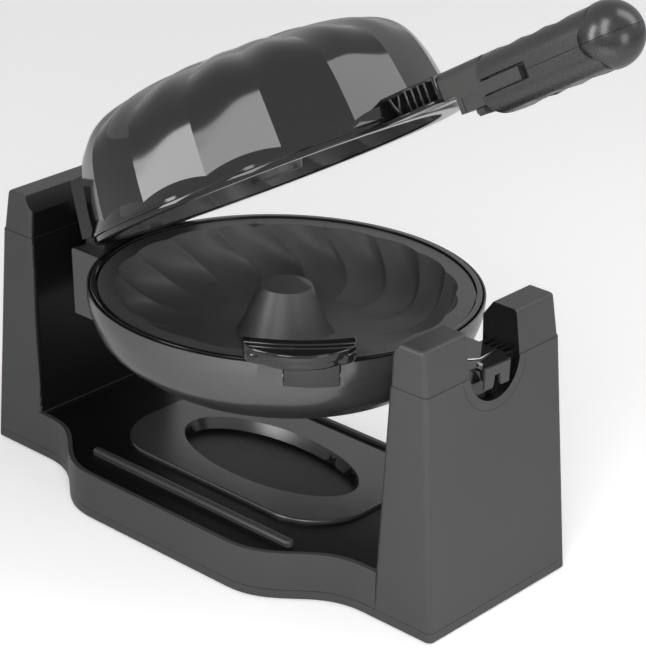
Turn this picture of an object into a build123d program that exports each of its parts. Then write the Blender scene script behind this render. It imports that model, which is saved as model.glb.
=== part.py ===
from build123d import *
import math
import os

# Turn-over cake maker with a hinged lid, in millimetres.
# +X runs from the hinge tower to the open tower, +Y to the back, +Z up.
# Every piece is drawn from the middle of the base, with the lid closed and the pan level.
# Then the pan is tipped and the lid is opened to the angles that they rest at.
# Last, all pieces move so that the origin lies under the middle of the whole object,
# on the surface that the feet stand on.

# Pan: a bowl under a ring, on the turning axis
PAN_X = 14.0
AXIS_Z = 135.0
REST_TIP = 2.43
PARTING_Z = AXIS_Z
BOWL_TOP_RADIUS = 105.2
BOWL_SIDE_RUN = 45.2
BOWL_FLOOR_RADIUS = BOWL_TOP_RADIUS - BOWL_SIDE_RUN
BOWL_DEPTH = 47.5
BOWL_WALL = 2.6
BOWL_EDGE = 0.8
BOWL_EDGE_DROP = 1.0
RIM_FIT = 1.2
RIM_RADIUS = BOWL_TOP_RADIUS - BOWL_EDGE - RIM_FIT
RIM_HEIGHT = 5.4
RIM_TOP_DROP = 0.4
RIM_SKIRT = 2.0
RIM_TOP_WIDTH = 2.8
RIM_STEP_RADIUS = RIM_RADIUS - RIM_TOP_WIDTH
RIM_LEDGE_WIDTH = 7.0
RIM_LEDGE_RADIUS = RIM_RADIUS - RIM_LEDGE_WIDTH
RIM_LEDGE_DROP = 3.4

# Towers: they stand clear of the pan, lean in and narrow towards the top
TOWER_GAP = 11.9
TOWER_WIDTH_AT_SEAM = 24.4
TOWER_LEAN_IN = 5.7
TOWER_LEAN_OUT = 9.5
TOWER_LEAN_DEPTH = 2.8
TOWER_INNER_AT_SEAM = PAN_X + BOWL_TOP_RADIUS + TOWER_GAP
TOWER_OUTER_AT_SEAM = TOWER_INNER_AT_SEAM + TOWER_WIDTH_AT_SEAM
TOWER_INNER_AT_FLOOR = TOWER_INNER_AT_SEAM - TOWER_LEAN_IN
SEAM_DROP = 2.4
SEAM_Z = AXIS_Z - SEAM_DROP
SEAM_GAP = 0.2
CAP_HEIGHT = 23.2
TOWER_TOP_Z = SEAM_Z + CAP_HEIGHT

# Base: footprint and heights
BASE_HALF_LENGTH = TOWER_OUTER_AT_SEAM + TOWER_LEAN_OUT
BASE_HALF_DEPTH = 54.6
TOWER_HALF_DEPTH_AT_SEAM = BASE_HALF_DEPTH - TOWER_LEAN_DEPTH
FOOT_HEIGHT = 1.5
TRAY_SIDE = 5.0
TRAY_TOP_Z = FOOT_HEIGHT + TRAY_SIDE
DECK_Z = 26.0
FRONT_RIM_RISE = 2.0
FRONT_RIM_Z = DECK_Z + FRONT_RIM_RISE
BASE_WALL = 2.8
EDGE_ROUND = 3.0

# Tower caps
CAP_LEAN_IN = 0.2
CAP_LEAN_OUT = 3.5
CAP_LEAN_DEPTH = 1.6
CAP_INNER_AT_TOP = TOWER_INNER_AT_SEAM - CAP_LEAN_IN
CAP_OUTER_AT_TOP = TOWER_OUTER_AT_SEAM - CAP_LEAN_OUT
CAP_HALF_DEPTH_AT_TOP = TOWER_HALF_DEPTH_AT_SEAM - CAP_LEAN_DEPTH
CAP_STEP = 0.4
CAP_CHAMFER_WIDTH = 6.4
CAP_CHAMFER_DEPTH = 8.8
CAP_LIP_DEPTH = 5.0
CAP_LIP_WALL = 1.8

# Front wall: it swells forward between the towers
BULGE_DEPTH = 30.0
BULGE_END_GAP = 5.4
BULGE_START_X = TOWER_INNER_AT_FLOOR - BULGE_END_GAP
BULGE_FLAT_X = 52.0
RIM_LIP = 2.6
DECK_RIB_LENGTH = 150.0
DECK_RIB_WIDTH = 5.0
DECK_RIB_HEIGHT = 1.4
DECK_RIB_X = 3.0
DECK_RIB_FORWARD = 7.9
DECK_RIB_Y = -BASE_HALF_DEPTH - DECK_RIB_FORWARD

# Drip tray: raised plate with an oval well
TRAY_END_GAP = 43.4
TRAY_SIDE_GAP = 8.6
TRAY_LENGTH = 2 * (TOWER_INNER_AT_FLOOR - TRAY_END_GAP)
TRAY_DEPTH = 2 * (BASE_HALF_DEPTH - TRAY_SIDE_GAP)
TRAY_CORNER = 34.0
TRAY_PLATE = 2.2
TRAY_RISE = 1.2
WELL_END_GAP = 20.0
WELL_SIDE_GAP = 15.5
WELL_LENGTH = TRAY_LENGTH - 2 * WELL_END_GAP
WELL_DEPTH = TRAY_DEPTH - 2 * WELL_SIDE_GAP
WELL_DROP = 8.0
WELL_WALL = 1.6
WELL_LEAN = 0.35
WELL_X = 3.0
WELL_Y = -1.0
TRAY_FIT = 0.5

# Bearings on the turning axis
SADDLE_RADIUS = 19.5
SADDLE_BAND = 5.0
JOURNAL_FIT = 0.3
JOURNAL_RADIUS = SADDLE_RADIUS - JOURNAL_FIT
JOURNAL_START_GAP = 1.7
JOURNAL_END_GAP = 3.1
JOURNAL_START_X = TOWER_INNER_AT_SEAM + JOURNAL_START_GAP
JOURNAL_END_X = TOWER_OUTER_AT_SEAM - JOURNAL_END_GAP
SHAFT_RADIUS = 7.0
SHAFT_WALL = 3.0
SHAFT_BORE = SHAFT_RADIUS - SHAFT_WALL
SHAFT_RUN = 0.05
SHAFT_END_GAP = 9.5
SHAFT_END_X = SHAFT_END_GAP - TOWER_OUTER_AT_SEAM
CLIP_RING_INSET = 5.0
CLIP_RING_X = SHAFT_END_X + CLIP_RING_INSET
BUSH_WALL = 5.9
BUSH_RADIUS = SHAFT_RADIUS + BUSH_WALL
BUSH_FLANGE_WIDTH = 2.6
BUSH_FLANGE_RADIUS = BUSH_RADIUS + BUSH_FLANGE_WIDTH
BUSH_FLANGE = 1.8
BUSH_FIT = 0.1
BUSH_ROOM_END_X = SHAFT_END_X - 1.3

# Moulds
MOULD_EDGE_FIT = 1.0
MOULD_EDGE_RADIUS = RIM_STEP_RADIUS - MOULD_EDGE_FIT
MOULD_PLATE = 2.0
MOULD_WALL = 4.5
MOULD_FIT = 0.5
CAVITY_RADIUS = RIM_LEDGE_RADIUS - MOULD_FIT - MOULD_WALL
LOWER_HEATING_ROOM = 20.5
LOWER_CAVITY_DEPTH = BOWL_DEPTH - LOWER_HEATING_ROOM
CAVITY_DRAFT = 9.0
CAVITY_ROUND = 28.0
POST_TOP_RADIUS = 13.0
POST_FOOT_RADIUS = 24.0
FLUTE_COUNT = 18
FLUTE_STEP = 360.0 / FLUTE_COUNT
FLUTE_DEPTH = 4.5
FLUTE_TWIST = 18.0

# Heating
ELEMENT_OUTSET = 2.0
ELEMENT_RADIUS = BOWL_FLOOR_RADIUS + ELEMENT_OUTSET
ELEMENT_ROD = 4.0
UPPER_ELEMENT_INSET = 12.0
UPPER_ELEMENT_RADIUS = ELEMENT_RADIUS - UPPER_ELEMENT_INSET
UPPER_DISC_MARGIN = 14.0
POST_RING_INSET = 10.0
POST_RING_RADIUS = UPPER_ELEMENT_RADIUS - POST_RING_INSET
REFLECTOR_SHEET = 0.8

# Hinge between pan and lid
HINGE_INSET = 0.2
HINGE_RISE = 14.0
HINGE_X = PAN_X - RIM_RADIUS + HINGE_INSET
HINGE_Z = PARTING_Z + HINGE_RISE
PIN_RADIUS = 2.5
KNUCKLE_WALL = 2.5
KNUCKLE_RADIUS = PIN_RADIUS + KNUCKLE_WALL
PIN_RUN = 0.05
BARREL_HALF = 27.2
SIDE_RUN = 0.4
ARM_WIDTH = 10.4
BLOCK_BEHIND_PIN = 24.0
BLOCK_LEFT_X = HINGE_X - BLOCK_BEHIND_PIN
BLOCK_BOTTOM_DROP = 45.5
BLOCK_BOTTOM_Z = PARTING_Z - BLOCK_BOTTOM_DROP
BLOCK_TOP_DROP = 7.6
BLOCK_TOP_Z = PARTING_Z - BLOCK_TOP_DROP
BLOCK_HALF = BARREL_HALF + SIDE_RUN + ARM_WIDTH
BOSS_HALF = BARREL_HALF
BOSS_RISE = 3.0
BOSS_TOP_Z = HINGE_Z + BOSS_RISE
BOSS_BEHIND_PIN = 9.0
BOSS_RIGHT_X = HINGE_X - BOSS_BEHIND_PIN
LID_REST_ANGLE = 31.5

# Lid: a drum of lobes on a flange, heights above the parting plane
LID_FIT = 1.2
FLANGE_RADIUS = RIM_RADIUS - LID_FIT
FLANGE_BOTTOM = 3.4
FLANGE_EDGE = 5.2
SKIRT_FOOT_RADIUS = FLANGE_RADIUS - 0.6
SKIRT_FOOT_RISE = 6.4
SKIRT_TOP_RADIUS = FLANGE_RADIUS - 7.4
SKIRT_TOP_RISE = 17.6
LID_HEIGHT = 67.9
LOBE_COUNT = 16
LOBE_STEP = 360.0 / LOBE_COUNT
LOBE_SECTIONS = 12
CREASE_AZIMUTH = 5.0
DOME_FOOT = (FLANGE_RADIUS - 3.1, 6.0)
DOME_WAIST = (FLANGE_RADIUS - 5.4, LID_HEIGHT - 43.9)
DOME_SHOULDER = (FLANGE_RADIUS - 13.8, LID_HEIGHT - 19.9)
DOME_EDGE = (FLANGE_RADIUS - 22.4, LID_HEIGHT - 10.4)
DOME_CROWN = (FLANGE_RADIUS - 40.5, LID_HEIGHT - 3.9)
DOME_HUB = (22.0, LID_HEIGHT)
FACET_PROUD = 1.5
FACET_SHARE = 0.2
PETAL_SHARE = 0.55
PETAL_DEPTH = 1.5
PETAL_LIMIT = 0.08
LID_WALL = 2.8
LID_RIM_RADIUS = FLANGE_RADIUS - 0.6
LID_RIM_BOTTOM = 0.4
LID_RIM_LEDGE = 1.0
UPPER_HEATING_ROOM = 29.9
UPPER_CAVITY_DEPTH = LID_HEIGHT - UPPER_HEATING_ROOM

# Side clip on the front of the pan
CLIP_AZIMUTH = -43.2
CLIP_WIDTH = 55.0
CLIP_STAND_OFF = 3.0
CLIP_PIVOT_RADIUS = BOWL_TOP_RADIUS + CLIP_STAND_OFF
CLIP_PIVOT_RISE = -5.0
CLIP_INNER_RADIUS = CLIP_PIVOT_RADIUS - 1.2
CLIP_LIP_LENGTH = 20.5
CLIP_OUTER_RADIUS = CLIP_INNER_RADIUS + CLIP_LIP_LENGTH
CLIP_LIP_TOP = 11.8
CLIP_LIP = 3.4
CLIP_BLOCK_BOTTOM = -10.5
CLIP_BLOCK_TOP = 7.2
CLIP_PIN = 1.0
CLIP_KNUCKLE = CLIP_PIN + 1.4
CLIP_LEFT = -7.6
CLIP_RIGHT = 20.0
CLIP_PIN_LEFT = CLIP_LEFT - 2.0
CLIP_FACE = CLIP_PIVOT_RADIUS + 2.2
CLIP_PLATE = CLIP_PIVOT_RADIUS - 0.8
CLIP_HOOK = FLANGE_RADIUS + 0.8
CLIP_HOOK_RISE = 6.0

# Handle on the lid
ROOT_START_X = PAN_X + SKIRT_TOP_RADIUS - 2.6
ROOT_END_X = TOWER_OUTER_AT_SEAM - 0.1
LID_JOURNAL_END_X = TOWER_OUTER_AT_SEAM - 5.0
NECK_HALF_WIDTH = 11.0
NECK_TOP_Z = AXIS_Z + 14.2
NECK_SIDE_Z = AXIS_Z + 0.8
NECK_PAD_Z = AXIS_Z - 8.4
NECK_PAD_GAP = 2.7
NECK_PAD_START_X = TOWER_OUTER_AT_SEAM + NECK_PAD_GAP
NECK_PAD_LENGTH = 17.8
NECK_END_X = NECK_PAD_START_X + NECK_PAD_LENGTH
GRIP_Z = AXIS_Z - 1.0
GRIP_LENGTH = 88.5
GRIP_END_X = NECK_END_X + GRIP_LENGTH
GRIP_HEIGHT = 30.4
GRIP_WIDTH = 27.0
GRIP_CORNER = 9.5
BALL_DIAMETER = 32.0
TONGUE_LENGTH = 24.5
TONGUE_HEIGHT = 6.4
WINDOW_LENGTH = TONGUE_LENGTH + 6.5
WINDOW_HEIGHT = TONGUE_HEIGHT + 2.0
WAVE_COUNT = 3
WAVE_START = 20.0
WAVE_PITCH = 15.5
WAVE_RADIUS = 30.0
WAVE_DEPTH = 1.1
TANG_LENGTH = 52.0
TANG_HEIGHT = 12.0
TANG_HALF_WIDTH = 6.0
GRIP_FIT = 0.3
LATCH_TRAVEL = 5.0
LATCH_TIP_X = NECK_PAD_START_X + 1.2
LATCH_BOLT_Z = NECK_PAD_Z - 1.6
LATCH_BOLT_HEIGHT = 3.5
LATCH_KEY_X = NECK_PAD_START_X + 7.6
LATCH_KEY_LENGTH = 4.0
THUMB_X = NECK_PAD_START_X + 5.4
THUMB_LENGTH = 5.0
GRIP_SCREW_XS = (NECK_END_X + 30.0, NECK_END_X + 64.0)

# Fasteners, feet and cord gland
FOOT_RADIUS = 8.0
FOOT_X = BASE_HALF_LENGTH - 20.0
FOOT_Y = BASE_HALF_DEPTH - 18.6
FOOT_PLACES = [(x, y) for x in (-FOOT_X, FOOT_X) for y in (-FOOT_Y, FOOT_Y)]
SCREW_RADIUS = 1.6
SCREW_HEAD_RADIUS = 3.4
SCREW_HEAD = 1.8
SCREW_LENGTH = 10.0
BASE_SCREW_Y = FOOT_Y - 12.0
BASE_SCREW_PLACES = [(x, y) for x in (-FOOT_X, FOOT_X) for y in (-BASE_SCREW_Y, BASE_SCREW_Y)]
GLAND_Z = 22.0
GLAND_RADIUS = 6.5

# Middle of the whole object at rest, from the middle of the base
MIDDLE_X = 28.9


def outline_face(points):
    """Face inside a closed run of straight lines."""
    return make_face(Polyline(*points, close=True))


def turned(points, centre_x=PAN_X, base_z=PARTING_Z):
    """Ring or disc from (radius, height) points, turned about an upright axis."""
    ring = revolve(Plane.XZ * outline_face(points), Axis.Z)
    return Pos(centre_x, 0, base_z) * ring


def turned_wire(wire_edges, centre_x=PAN_X, base_z=PARTING_Z):
    """The same from lines and arcs."""
    ring = revolve(Plane.XZ * make_face(wire_edges), Axis.Z)
    return Pos(centre_x, 0, base_z) * ring


def side_profile(points, half_width, middle_y=0.0):
    """Block with an outline in the X-Z plane, as wide as twice half_width."""
    face = Plane.XZ * outline_face(points)
    return Pos(0, middle_y, 0) * extrude(face, amount=half_width, both=True)


def span(x0, x1, y0, y1, z0, z1):
    """Box between two corners."""
    middle = ((x0 + x1) / 2, (y0 + y1) / 2, (z0 + z1) / 2)
    return Pos(*middle) * Box(x1 - x0, y1 - y0, z1 - z0)


def rod_along_x(x0, x1, radius, y=0.0, z=AXIS_Z):
    """Round bar along X."""
    return Pos((x0 + x1) / 2, y, z) * Rot(0, 90, 0) * Cylinder(radius, x1 - x0)


def rod_along_y(x, z, y0, y1, radius):
    """Round bar along Y."""
    return Pos(x, (y0 + y1) / 2, z) * Rot(90, 0, 0) * Cylinder(radius, y1 - y0)


def around_pan(shape, azimuth):
    """Turn a piece about the pan's upright axis."""
    return Pos(PAN_X, 0, 0) * Rot(0, 0, azimuth) * Pos(-PAN_X, 0, 0) * shape


def opened(shape, angle=LID_REST_ANGLE):
    """Turn a piece of the lid about the hinge pin, from closed to open."""
    to_pin = Pos(HINGE_X, 0, HINGE_Z)
    return to_pin * Rot(0, -angle, 0) * Pos(-HINGE_X, 0, -HINGE_Z) * shape


def tipped(shape):
    """Turn a piece of the pan about the turning axis to the tip it rests at."""
    return Pos(0, 0, AXIS_Z) * Rot(-REST_TIP, 0, 0) * Pos(0, 0, -AXIS_Z) * shape


def tower_inner(z):
    """Distance of a tower's inner face from the middle."""
    share = z / SEAM_Z
    return TOWER_INNER_AT_FLOOR + (TOWER_INNER_AT_SEAM - TOWER_INNER_AT_FLOOR) * share


def tower_outer(z):
    """Distance of a tower's outer face from the middle."""
    return BASE_HALF_LENGTH + (TOWER_OUTER_AT_SEAM - BASE_HALF_LENGTH) * z / SEAM_Z


def tower_half_depth(z):
    """Half the front-to-back size of a tower."""
    return BASE_HALF_DEPTH + (TOWER_HALF_DEPTH_AT_SEAM - BASE_HALF_DEPTH) * z / SEAM_Z


def tower_section(z, inset, side):
    """Rounded rectangle across a tower at one height."""
    inner = tower_inner(z) + inset
    outer = tower_outer(z) - inset
    depth = 2 * (tower_half_depth(z) - inset)
    round_off = max(EDGE_ROUND - inset, 0.6)
    face = RectangleRounded(outer - inner, depth, round_off)
    return Pos(side * (inner + outer) / 2, 0, z) * face


def tower_body(z0, z1, inset, side):
    """Tapered tower between two heights, smaller all round by inset."""
    sections = [tower_section(z0, inset, side), tower_section(z1, inset, side)]
    return loft(sections, ruled=True)


def deck_face(inset):
    """Plan of the deck between the towers, with the front wall's swell."""
    side_x = TOWER_INNER_AT_FLOOR + BASE_WALL
    back_y = BASE_HALF_DEPTH - inset
    front_y = -BASE_HALF_DEPTH + inset
    swell_y = front_y - BULGE_DEPTH
    start = BULGE_START_X - inset * 0.4
    flat = BULGE_FLAT_X - inset * 0.2
    forward = (1, 0)
    edges = [
        Line((-side_x, front_y), (-start, front_y)),
        Spline((-start, front_y), (-flat, swell_y), tangents=[forward, forward]),
        Line((-flat, swell_y), (flat, swell_y)),
        Spline((flat, swell_y), (start, front_y), tangents=[forward, forward]),
        Line((start, front_y), (side_x, front_y)),
        Line((side_x, front_y), (side_x, back_y)),
        Line((side_x, back_y), (-side_x, back_y)),
        Line((-side_x, back_y), (-side_x, front_y)),
    ]
    return make_face(edges)


def footprint(z0, z1, inset):
    """Straight-sided solid on the base's whole plan."""
    solid = Pos(0, 0, z0) * extrude(deck_face(inset), amount=z1 - z0)
    for side in (-1, 1):
        solid += tower_body(z0, z1, inset, side)
    return solid


def saddle_face(radius):
    """U shape about the turning axis, open at the top, in the Y-Z plane."""
    height = TOWER_TOP_Z - AXIS_Z + 20
    round_part = Circle(radius)
    slot_part = Pos(0, height / 2) * Rectangle(2 * radius, height)
    return Plane.YZ * Pos(0, AXIS_Z) * (round_part + slot_part)


def saddle_run(radius, x0, x1):
    """The U shape drawn out along X."""
    return Pos(x0, 0, 0) * extrude(saddle_face(radius), amount=x1 - x0)


def make_base_shell():
    """Towers, deck and front wall in one moulding, hollow from below."""
    shell = Pos(0, 0, TRAY_TOP_Z) * extrude(deck_face(0), amount=FRONT_RIM_Z - TRAY_TOP_Z)
    for side in (-1, 1):
        shell += tower_body(TRAY_TOP_Z, SEAM_Z, 0, side)
    under_deck = DECK_Z - BASE_WALL
    hollow = extrude(deck_face(BASE_WALL), amount=under_deck - TRAY_TOP_Z + 1)
    shell -= Pos(0, 0, TRAY_TOP_Z - 1) * hollow
    basin = extrude(deck_face(RIM_LIP), amount=FRONT_RIM_Z)
    for side in (-1, 1):
        basin -= tower_body(0, SEAM_Z, 0, side)
    shell -= Pos(0, 0, DECK_Z) * basin
    for side in (-1, 1):
        shell -= tower_body(TRAY_TOP_Z - 1, SEAM_Z + 1, BASE_WALL, side)
    rib = extrude(SlotOverall(DECK_RIB_LENGTH, DECK_RIB_WIDTH), amount=DECK_RIB_HEIGHT)
    rib = fillet(rib.faces().sort_by(Axis.Z)[-1].edges(), 0.9)
    shell += Pos(DECK_RIB_X, DECK_RIB_Y, DECK_Z) * rib
    well_room = Ellipse(WELL_LENGTH / 2 + TRAY_FIT, WELL_DEPTH / 2 + TRAY_FIT)
    shell -= Pos(WELL_X, WELL_Y, under_deck - 1) * extrude(well_room, amount=BASE_WALL + 2)
    saddle_room = SADDLE_RADIUS + SADDLE_BAND + SEAM_GAP
    shell -= saddle_run(saddle_room, TOWER_INNER_AT_FLOOR - 1, BASE_HALF_LENGTH + 1)
    bush_room = rod_along_x(BUSH_ROOM_END_X, -tower_inner(0), BUSH_RADIUS + BUSH_FIT)
    shell -= bush_room
    gland_x = -(tower_inner(GLAND_Z) + tower_outer(GLAND_Z)) / 2
    back_y = tower_half_depth(GLAND_Z)
    shell -= rod_along_y(gland_x, GLAND_Z, back_y - 2 * BASE_WALL, back_y + 1, GLAND_RADIUS)
    for x, y in BASE_SCREW_PLACES:
        shell += screw_boss(x, y)
    return shell


def screw_boss(x, y):
    """Screw pillar in a tower, tied to both walls by a rib."""
    low, high = FOOT_HEIGHT + BASE_WALL + SEAM_GAP, FOOT_HEIGHT + SCREW_HEAD + SCREW_LENGTH + 4.0
    side = math.copysign(1, x)
    rib_ends = sorted((side * (tower_inner(high) + 1), side * (tower_outer(high) - 1)))
    pillar = Pos(x, y, (low + high) / 2) * Cylinder(SCREW_HEAD_RADIUS, high - low)
    rib = span(rib_ends[0], rib_ends[1], y - 1.0, y + 1.0, TRAY_TOP_Z + 1.5, high)
    hole = Pos(x, y, low + SCREW_LENGTH / 2) * Cylinder(SCREW_RADIUS + 0.02, SCREW_LENGTH + 2.0)
    return pillar + rib - hole


def make_base_tray():
    """Closing tray under the base, a little proud of the shell all round."""
    tray = footprint(FOOT_HEIGHT, TRAY_TOP_Z - SEAM_GAP, 0.0)
    tray -= footprint(FOOT_HEIGHT + BASE_WALL, TRAY_TOP_Z + 1, BASE_WALL)
    for x, y in FOOT_PLACES:
        tray -= Pos(x, y, FOOT_HEIGHT) * Cylinder(FOOT_RADIUS + 0.1, 2.0)
    for x, y in BASE_SCREW_PLACES:
        tray -= Pos(x, y, FOOT_HEIGHT + BASE_WALL / 2) * Cylinder(SCREW_RADIUS + 0.2, BASE_WALL + 1)
        tray -= Pos(x, y, FOOT_HEIGHT) * Cylinder(SCREW_HEAD_RADIUS + 0.2, 2 * SCREW_HEAD)
    return tray


def cap_section(z, inset, side):
    """Rounded rectangle across a tower cap."""
    share = (z - SEAM_Z) / (TOWER_TOP_Z - SEAM_Z)
    inner_low = TOWER_INNER_AT_SEAM + CAP_STEP
    inner = inner_low + (CAP_INNER_AT_TOP - inner_low) * share + inset
    outer_low = TOWER_OUTER_AT_SEAM - CAP_STEP
    outer = outer_low + (CAP_OUTER_AT_TOP - outer_low) * share - inset
    half_low = TOWER_HALF_DEPTH_AT_SEAM - CAP_STEP
    half = half_low + (CAP_HALF_DEPTH_AT_TOP - half_low) * share - inset
    face = RectangleRounded(outer - inner, 2 * half, max(EDGE_ROUND - inset, 0.6))
    return Pos(side * (inner + outer) / 2, 0, z) * face


def cap_body(inset, side):
    """Cap outline with the slanted inner edge, smaller all round by inset."""
    top_z = TOWER_TOP_Z - inset
    solid = loft([cap_section(SEAM_Z, inset, side), cap_section(top_z, inset, side)], ruled=True)
    if inset == 0:
        solid = fillet(solid.faces().sort_by(Axis.Z)[-1].edges(), EDGE_ROUND * 0.8)
    edge_x = CAP_INNER_AT_TOP + inset
    cut = [
        (edge_x - 4, TOWER_TOP_Z - CAP_CHAMFER_DEPTH - inset - 5.5),
        (edge_x + CAP_CHAMFER_WIDTH + 4, TOWER_TOP_Z - inset + 5.5),
        (edge_x - 4, TOWER_TOP_Z - inset + 5.5),
    ]
    wedge = side_profile([(side * x, z) for x, z in cut], BASE_HALF_DEPTH)
    return solid - wedge


def cap_shell(side):
    """Hollow cap with a lip that drops inside the tower."""
    cap = cap_body(0, side) - cap_body(BASE_WALL, side)
    lip_inset = BASE_WALL + SEAM_GAP
    lip = tower_body(SEAM_Z - CAP_LIP_DEPTH, SEAM_Z + 1, lip_inset, side)
    lip -= tower_body(SEAM_Z - CAP_LIP_DEPTH, SEAM_Z + 1, lip_inset + CAP_LIP_WALL, side)
    return cap + lip


def make_left_cap():
    """Cap over the hinge tower, with the upper half of the bush's seat."""
    cap = cap_shell(-1)
    cap -= rod_along_x(BUSH_ROOM_END_X, -tower_inner(0), BUSH_RADIUS + BUSH_FIT)
    return cap


def make_right_cap():
    """Cap over the open tower, with the U-shaped saddle across it."""
    low = tower_body(AXIS_Z - SADDLE_RADIUS - SADDLE_BAND - 4, SEAM_Z, 0, 1)
    envelope = low + cap_body(0, 1)
    band_radius = SADDLE_RADIUS + SADDLE_BAND
    x0, x1 = TOWER_INNER_AT_FLOOR, BASE_HALF_LENGTH
    band = saddle_run(band_radius, x0, x1) & envelope
    cap = cap_shell(1) - saddle_run(band_radius, x0, x1)
    return cap + band - saddle_run(SADDLE_RADIUS, x0 - 1, x1 + 1)


def make_drip_tray():
    """Raised plate with rounded ends and an oval well through the deck."""
    plate = extrude(RectangleRounded(TRAY_LENGTH, TRAY_DEPTH, TRAY_CORNER), amount=TRAY_PLATE)
    plate = fillet(plate.faces().sort_by(Axis.Z)[-1].edges(), TRAY_RISE)
    tray = plate + well(0, TRAY_PLATE - 0.4) - well(WELL_WALL, TRAY_PLATE + 0.1)
    return Pos(0, 0, DECK_Z) * tray


def well(inset, top):
    """Filled oval well, smaller by inset, from its floor up to top."""
    half_l, half_d = WELL_LENGTH / 2 - inset, WELL_DEPTH / 2 - inset
    floor = TRAY_PLATE - WELL_DROP + inset
    lean = WELL_LEAN * (top - floor)
    low = Pos(0, 0, floor) * Ellipse(half_l - lean, half_d - lean)
    high = Pos(0, 0, top) * Ellipse(half_l, half_d)
    return Pos(WELL_X, WELL_Y, 0) * loft([low, high], ruled=True)


def make_feet():
    """Four rubber feet set into the tray."""
    feet = Part()
    for x, y in FOOT_PLACES:
        feet += Pos(x, y, (FOOT_HEIGHT + 1.0) / 2) * Cylinder(FOOT_RADIUS, FOOT_HEIGHT + 1.0)
    return feet


def screw(length=SCREW_LENGTH):
    """Pan-head screw standing on its head, point upwards."""
    head = Pos(0, 0, SCREW_HEAD / 2) * Cylinder(SCREW_HEAD_RADIUS, SCREW_HEAD)
    shank = Pos(0, 0, SCREW_HEAD + length / 2) * Cylinder(SCREW_RADIUS, length)
    drive = Box(3.6, 0.9, 1.2) + Box(0.9, 3.6, 1.2)
    return head + shank - drive


def make_base_screws():
    """Screws that hold the tray to the shell."""
    screws = Part()
    for x, y in BASE_SCREW_PLACES:
        screws += Pos(x, y, FOOT_HEIGHT) * screw()
    return screws


def make_pivot_bush():
    """Flanged bush that the pan's shaft turns in."""
    flange_x = -tower_inner(AXIS_Z - BUSH_FLANGE_RADIUS) + 0.2
    body = rod_along_x(-tower_inner(AXIS_Z) - BASE_WALL - 2.4, flange_x, BUSH_RADIUS)
    flange = rod_along_x(flange_x, flange_x + BUSH_FLANGE, BUSH_FLANGE_RADIUS)
    bore = rod_along_x(-BASE_HALF_LENGTH, -BASE_HALF_LENGTH / 2, SHAFT_RADIUS + SHAFT_RUN)
    return body + flange - bore


def make_pivot_shaft():
    """Hollow shaft from the pan's hinge block into the tower."""
    seat_x = BLOCK_LEFT_X
    bar = rod_along_x(SHAFT_END_X, seat_x, SHAFT_RADIUS)
    collar = rod_along_x(seat_x - 2.0, seat_x, SHAFT_RADIUS + 4.5)
    groove = rod_along_x(CLIP_RING_X - 0.6, CLIP_RING_X + 0.6, SHAFT_RADIUS + 1)
    groove -= rod_along_x(CLIP_RING_X - 0.6, CLIP_RING_X + 0.6, SHAFT_RADIUS - 1)
    bore = rod_along_x(SHAFT_END_X - 1, seat_x + 1, SHAFT_BORE)
    return bar + collar - groove - bore


def make_shaft_clip():
    """Open ring in the shaft's groove that keeps the shaft in the bush."""
    ring = rod_along_x(CLIP_RING_X - 0.5, CLIP_RING_X + 0.5, SHAFT_RADIUS + 3)
    ring -= rod_along_x(CLIP_RING_X - 1, CLIP_RING_X + 1, SHAFT_RADIUS - 0.9)
    gap = span(CLIP_RING_X - 1, CLIP_RING_X + 1, -4, 4, AXIS_Z - 12, AXIS_Z)
    return ring - gap


def make_cord_gland():
    """Round gland in the back of the hinge tower."""
    x = -(tower_inner(GLAND_Z) + tower_outer(GLAND_Z)) / 2
    wall_y = tower_half_depth(GLAND_Z)
    body = rod_along_y(x, GLAND_Z, wall_y - 5.5, wall_y + 0.7, GLAND_RADIUS - 0.1)
    rim = rod_along_y(x, GLAND_Z, wall_y + 0.5, wall_y + 2.4, GLAND_RADIUS + 2.4)
    bore = rod_along_y(x, GLAND_Z, wall_y - 8, wall_y + 4, 3.4)
    return body + rim - bore


def make_terminal_block():
    """Three-pole block that stands on the tray inside the hinge tower."""
    block = Box(16, 32, 12)
    for step in (-1, 0, 1):
        block -= Pos(0, step * 10.0, 5) * Cylinder(2.2, 6)
        block -= Pos(0, step * 10.0, -1) * Rot(0, 90, 0) * Cylinder(1.6, 20)
    x = -(tower_inner(0) + tower_outer(0)) / 2
    return Pos(x, 0, FOOT_HEIGHT + BASE_WALL + 6) * block


def bowl_points(inset):
    """Outline of the bowl from its rim to its floor, moved inwards by inset."""
    top_r, depth = BOWL_TOP_RADIUS, -BOWL_DEPTH
    return [
        (top_r - inset, -BOWL_EDGE_DROP),
        (top_r - 0.5 - inset, depth * 0.18),
        (top_r - 3.0 - inset, depth * 0.36 + inset * 0.1),
        (top_r - 8.8 - inset * 0.9, depth * 0.6 + inset * 0.35),
        (top_r - 21.5 - inset * 0.6, depth * 0.815 + inset * 0.8),
        (BOWL_FLOOR_RADIUS, depth + 0.6 + inset),
    ]


def bowl_solid(inset):
    """Bowl shape, filled, smaller by inset."""
    points = bowl_points(inset)
    top_r, top_h = points[0]
    floor_r, floor_h = points[-1]
    centre_h = floor_h - 0.6
    edges = [
        Line((0, top_h), (top_r, top_h)),
        Spline(*points, tangents=[(0, -1), (-1, -0.12)]),
        Line((floor_r, floor_h), (0, centre_h)),
        Line((0, centre_h), (0, top_h)),
    ]
    return turned_wire(edges)


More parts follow.
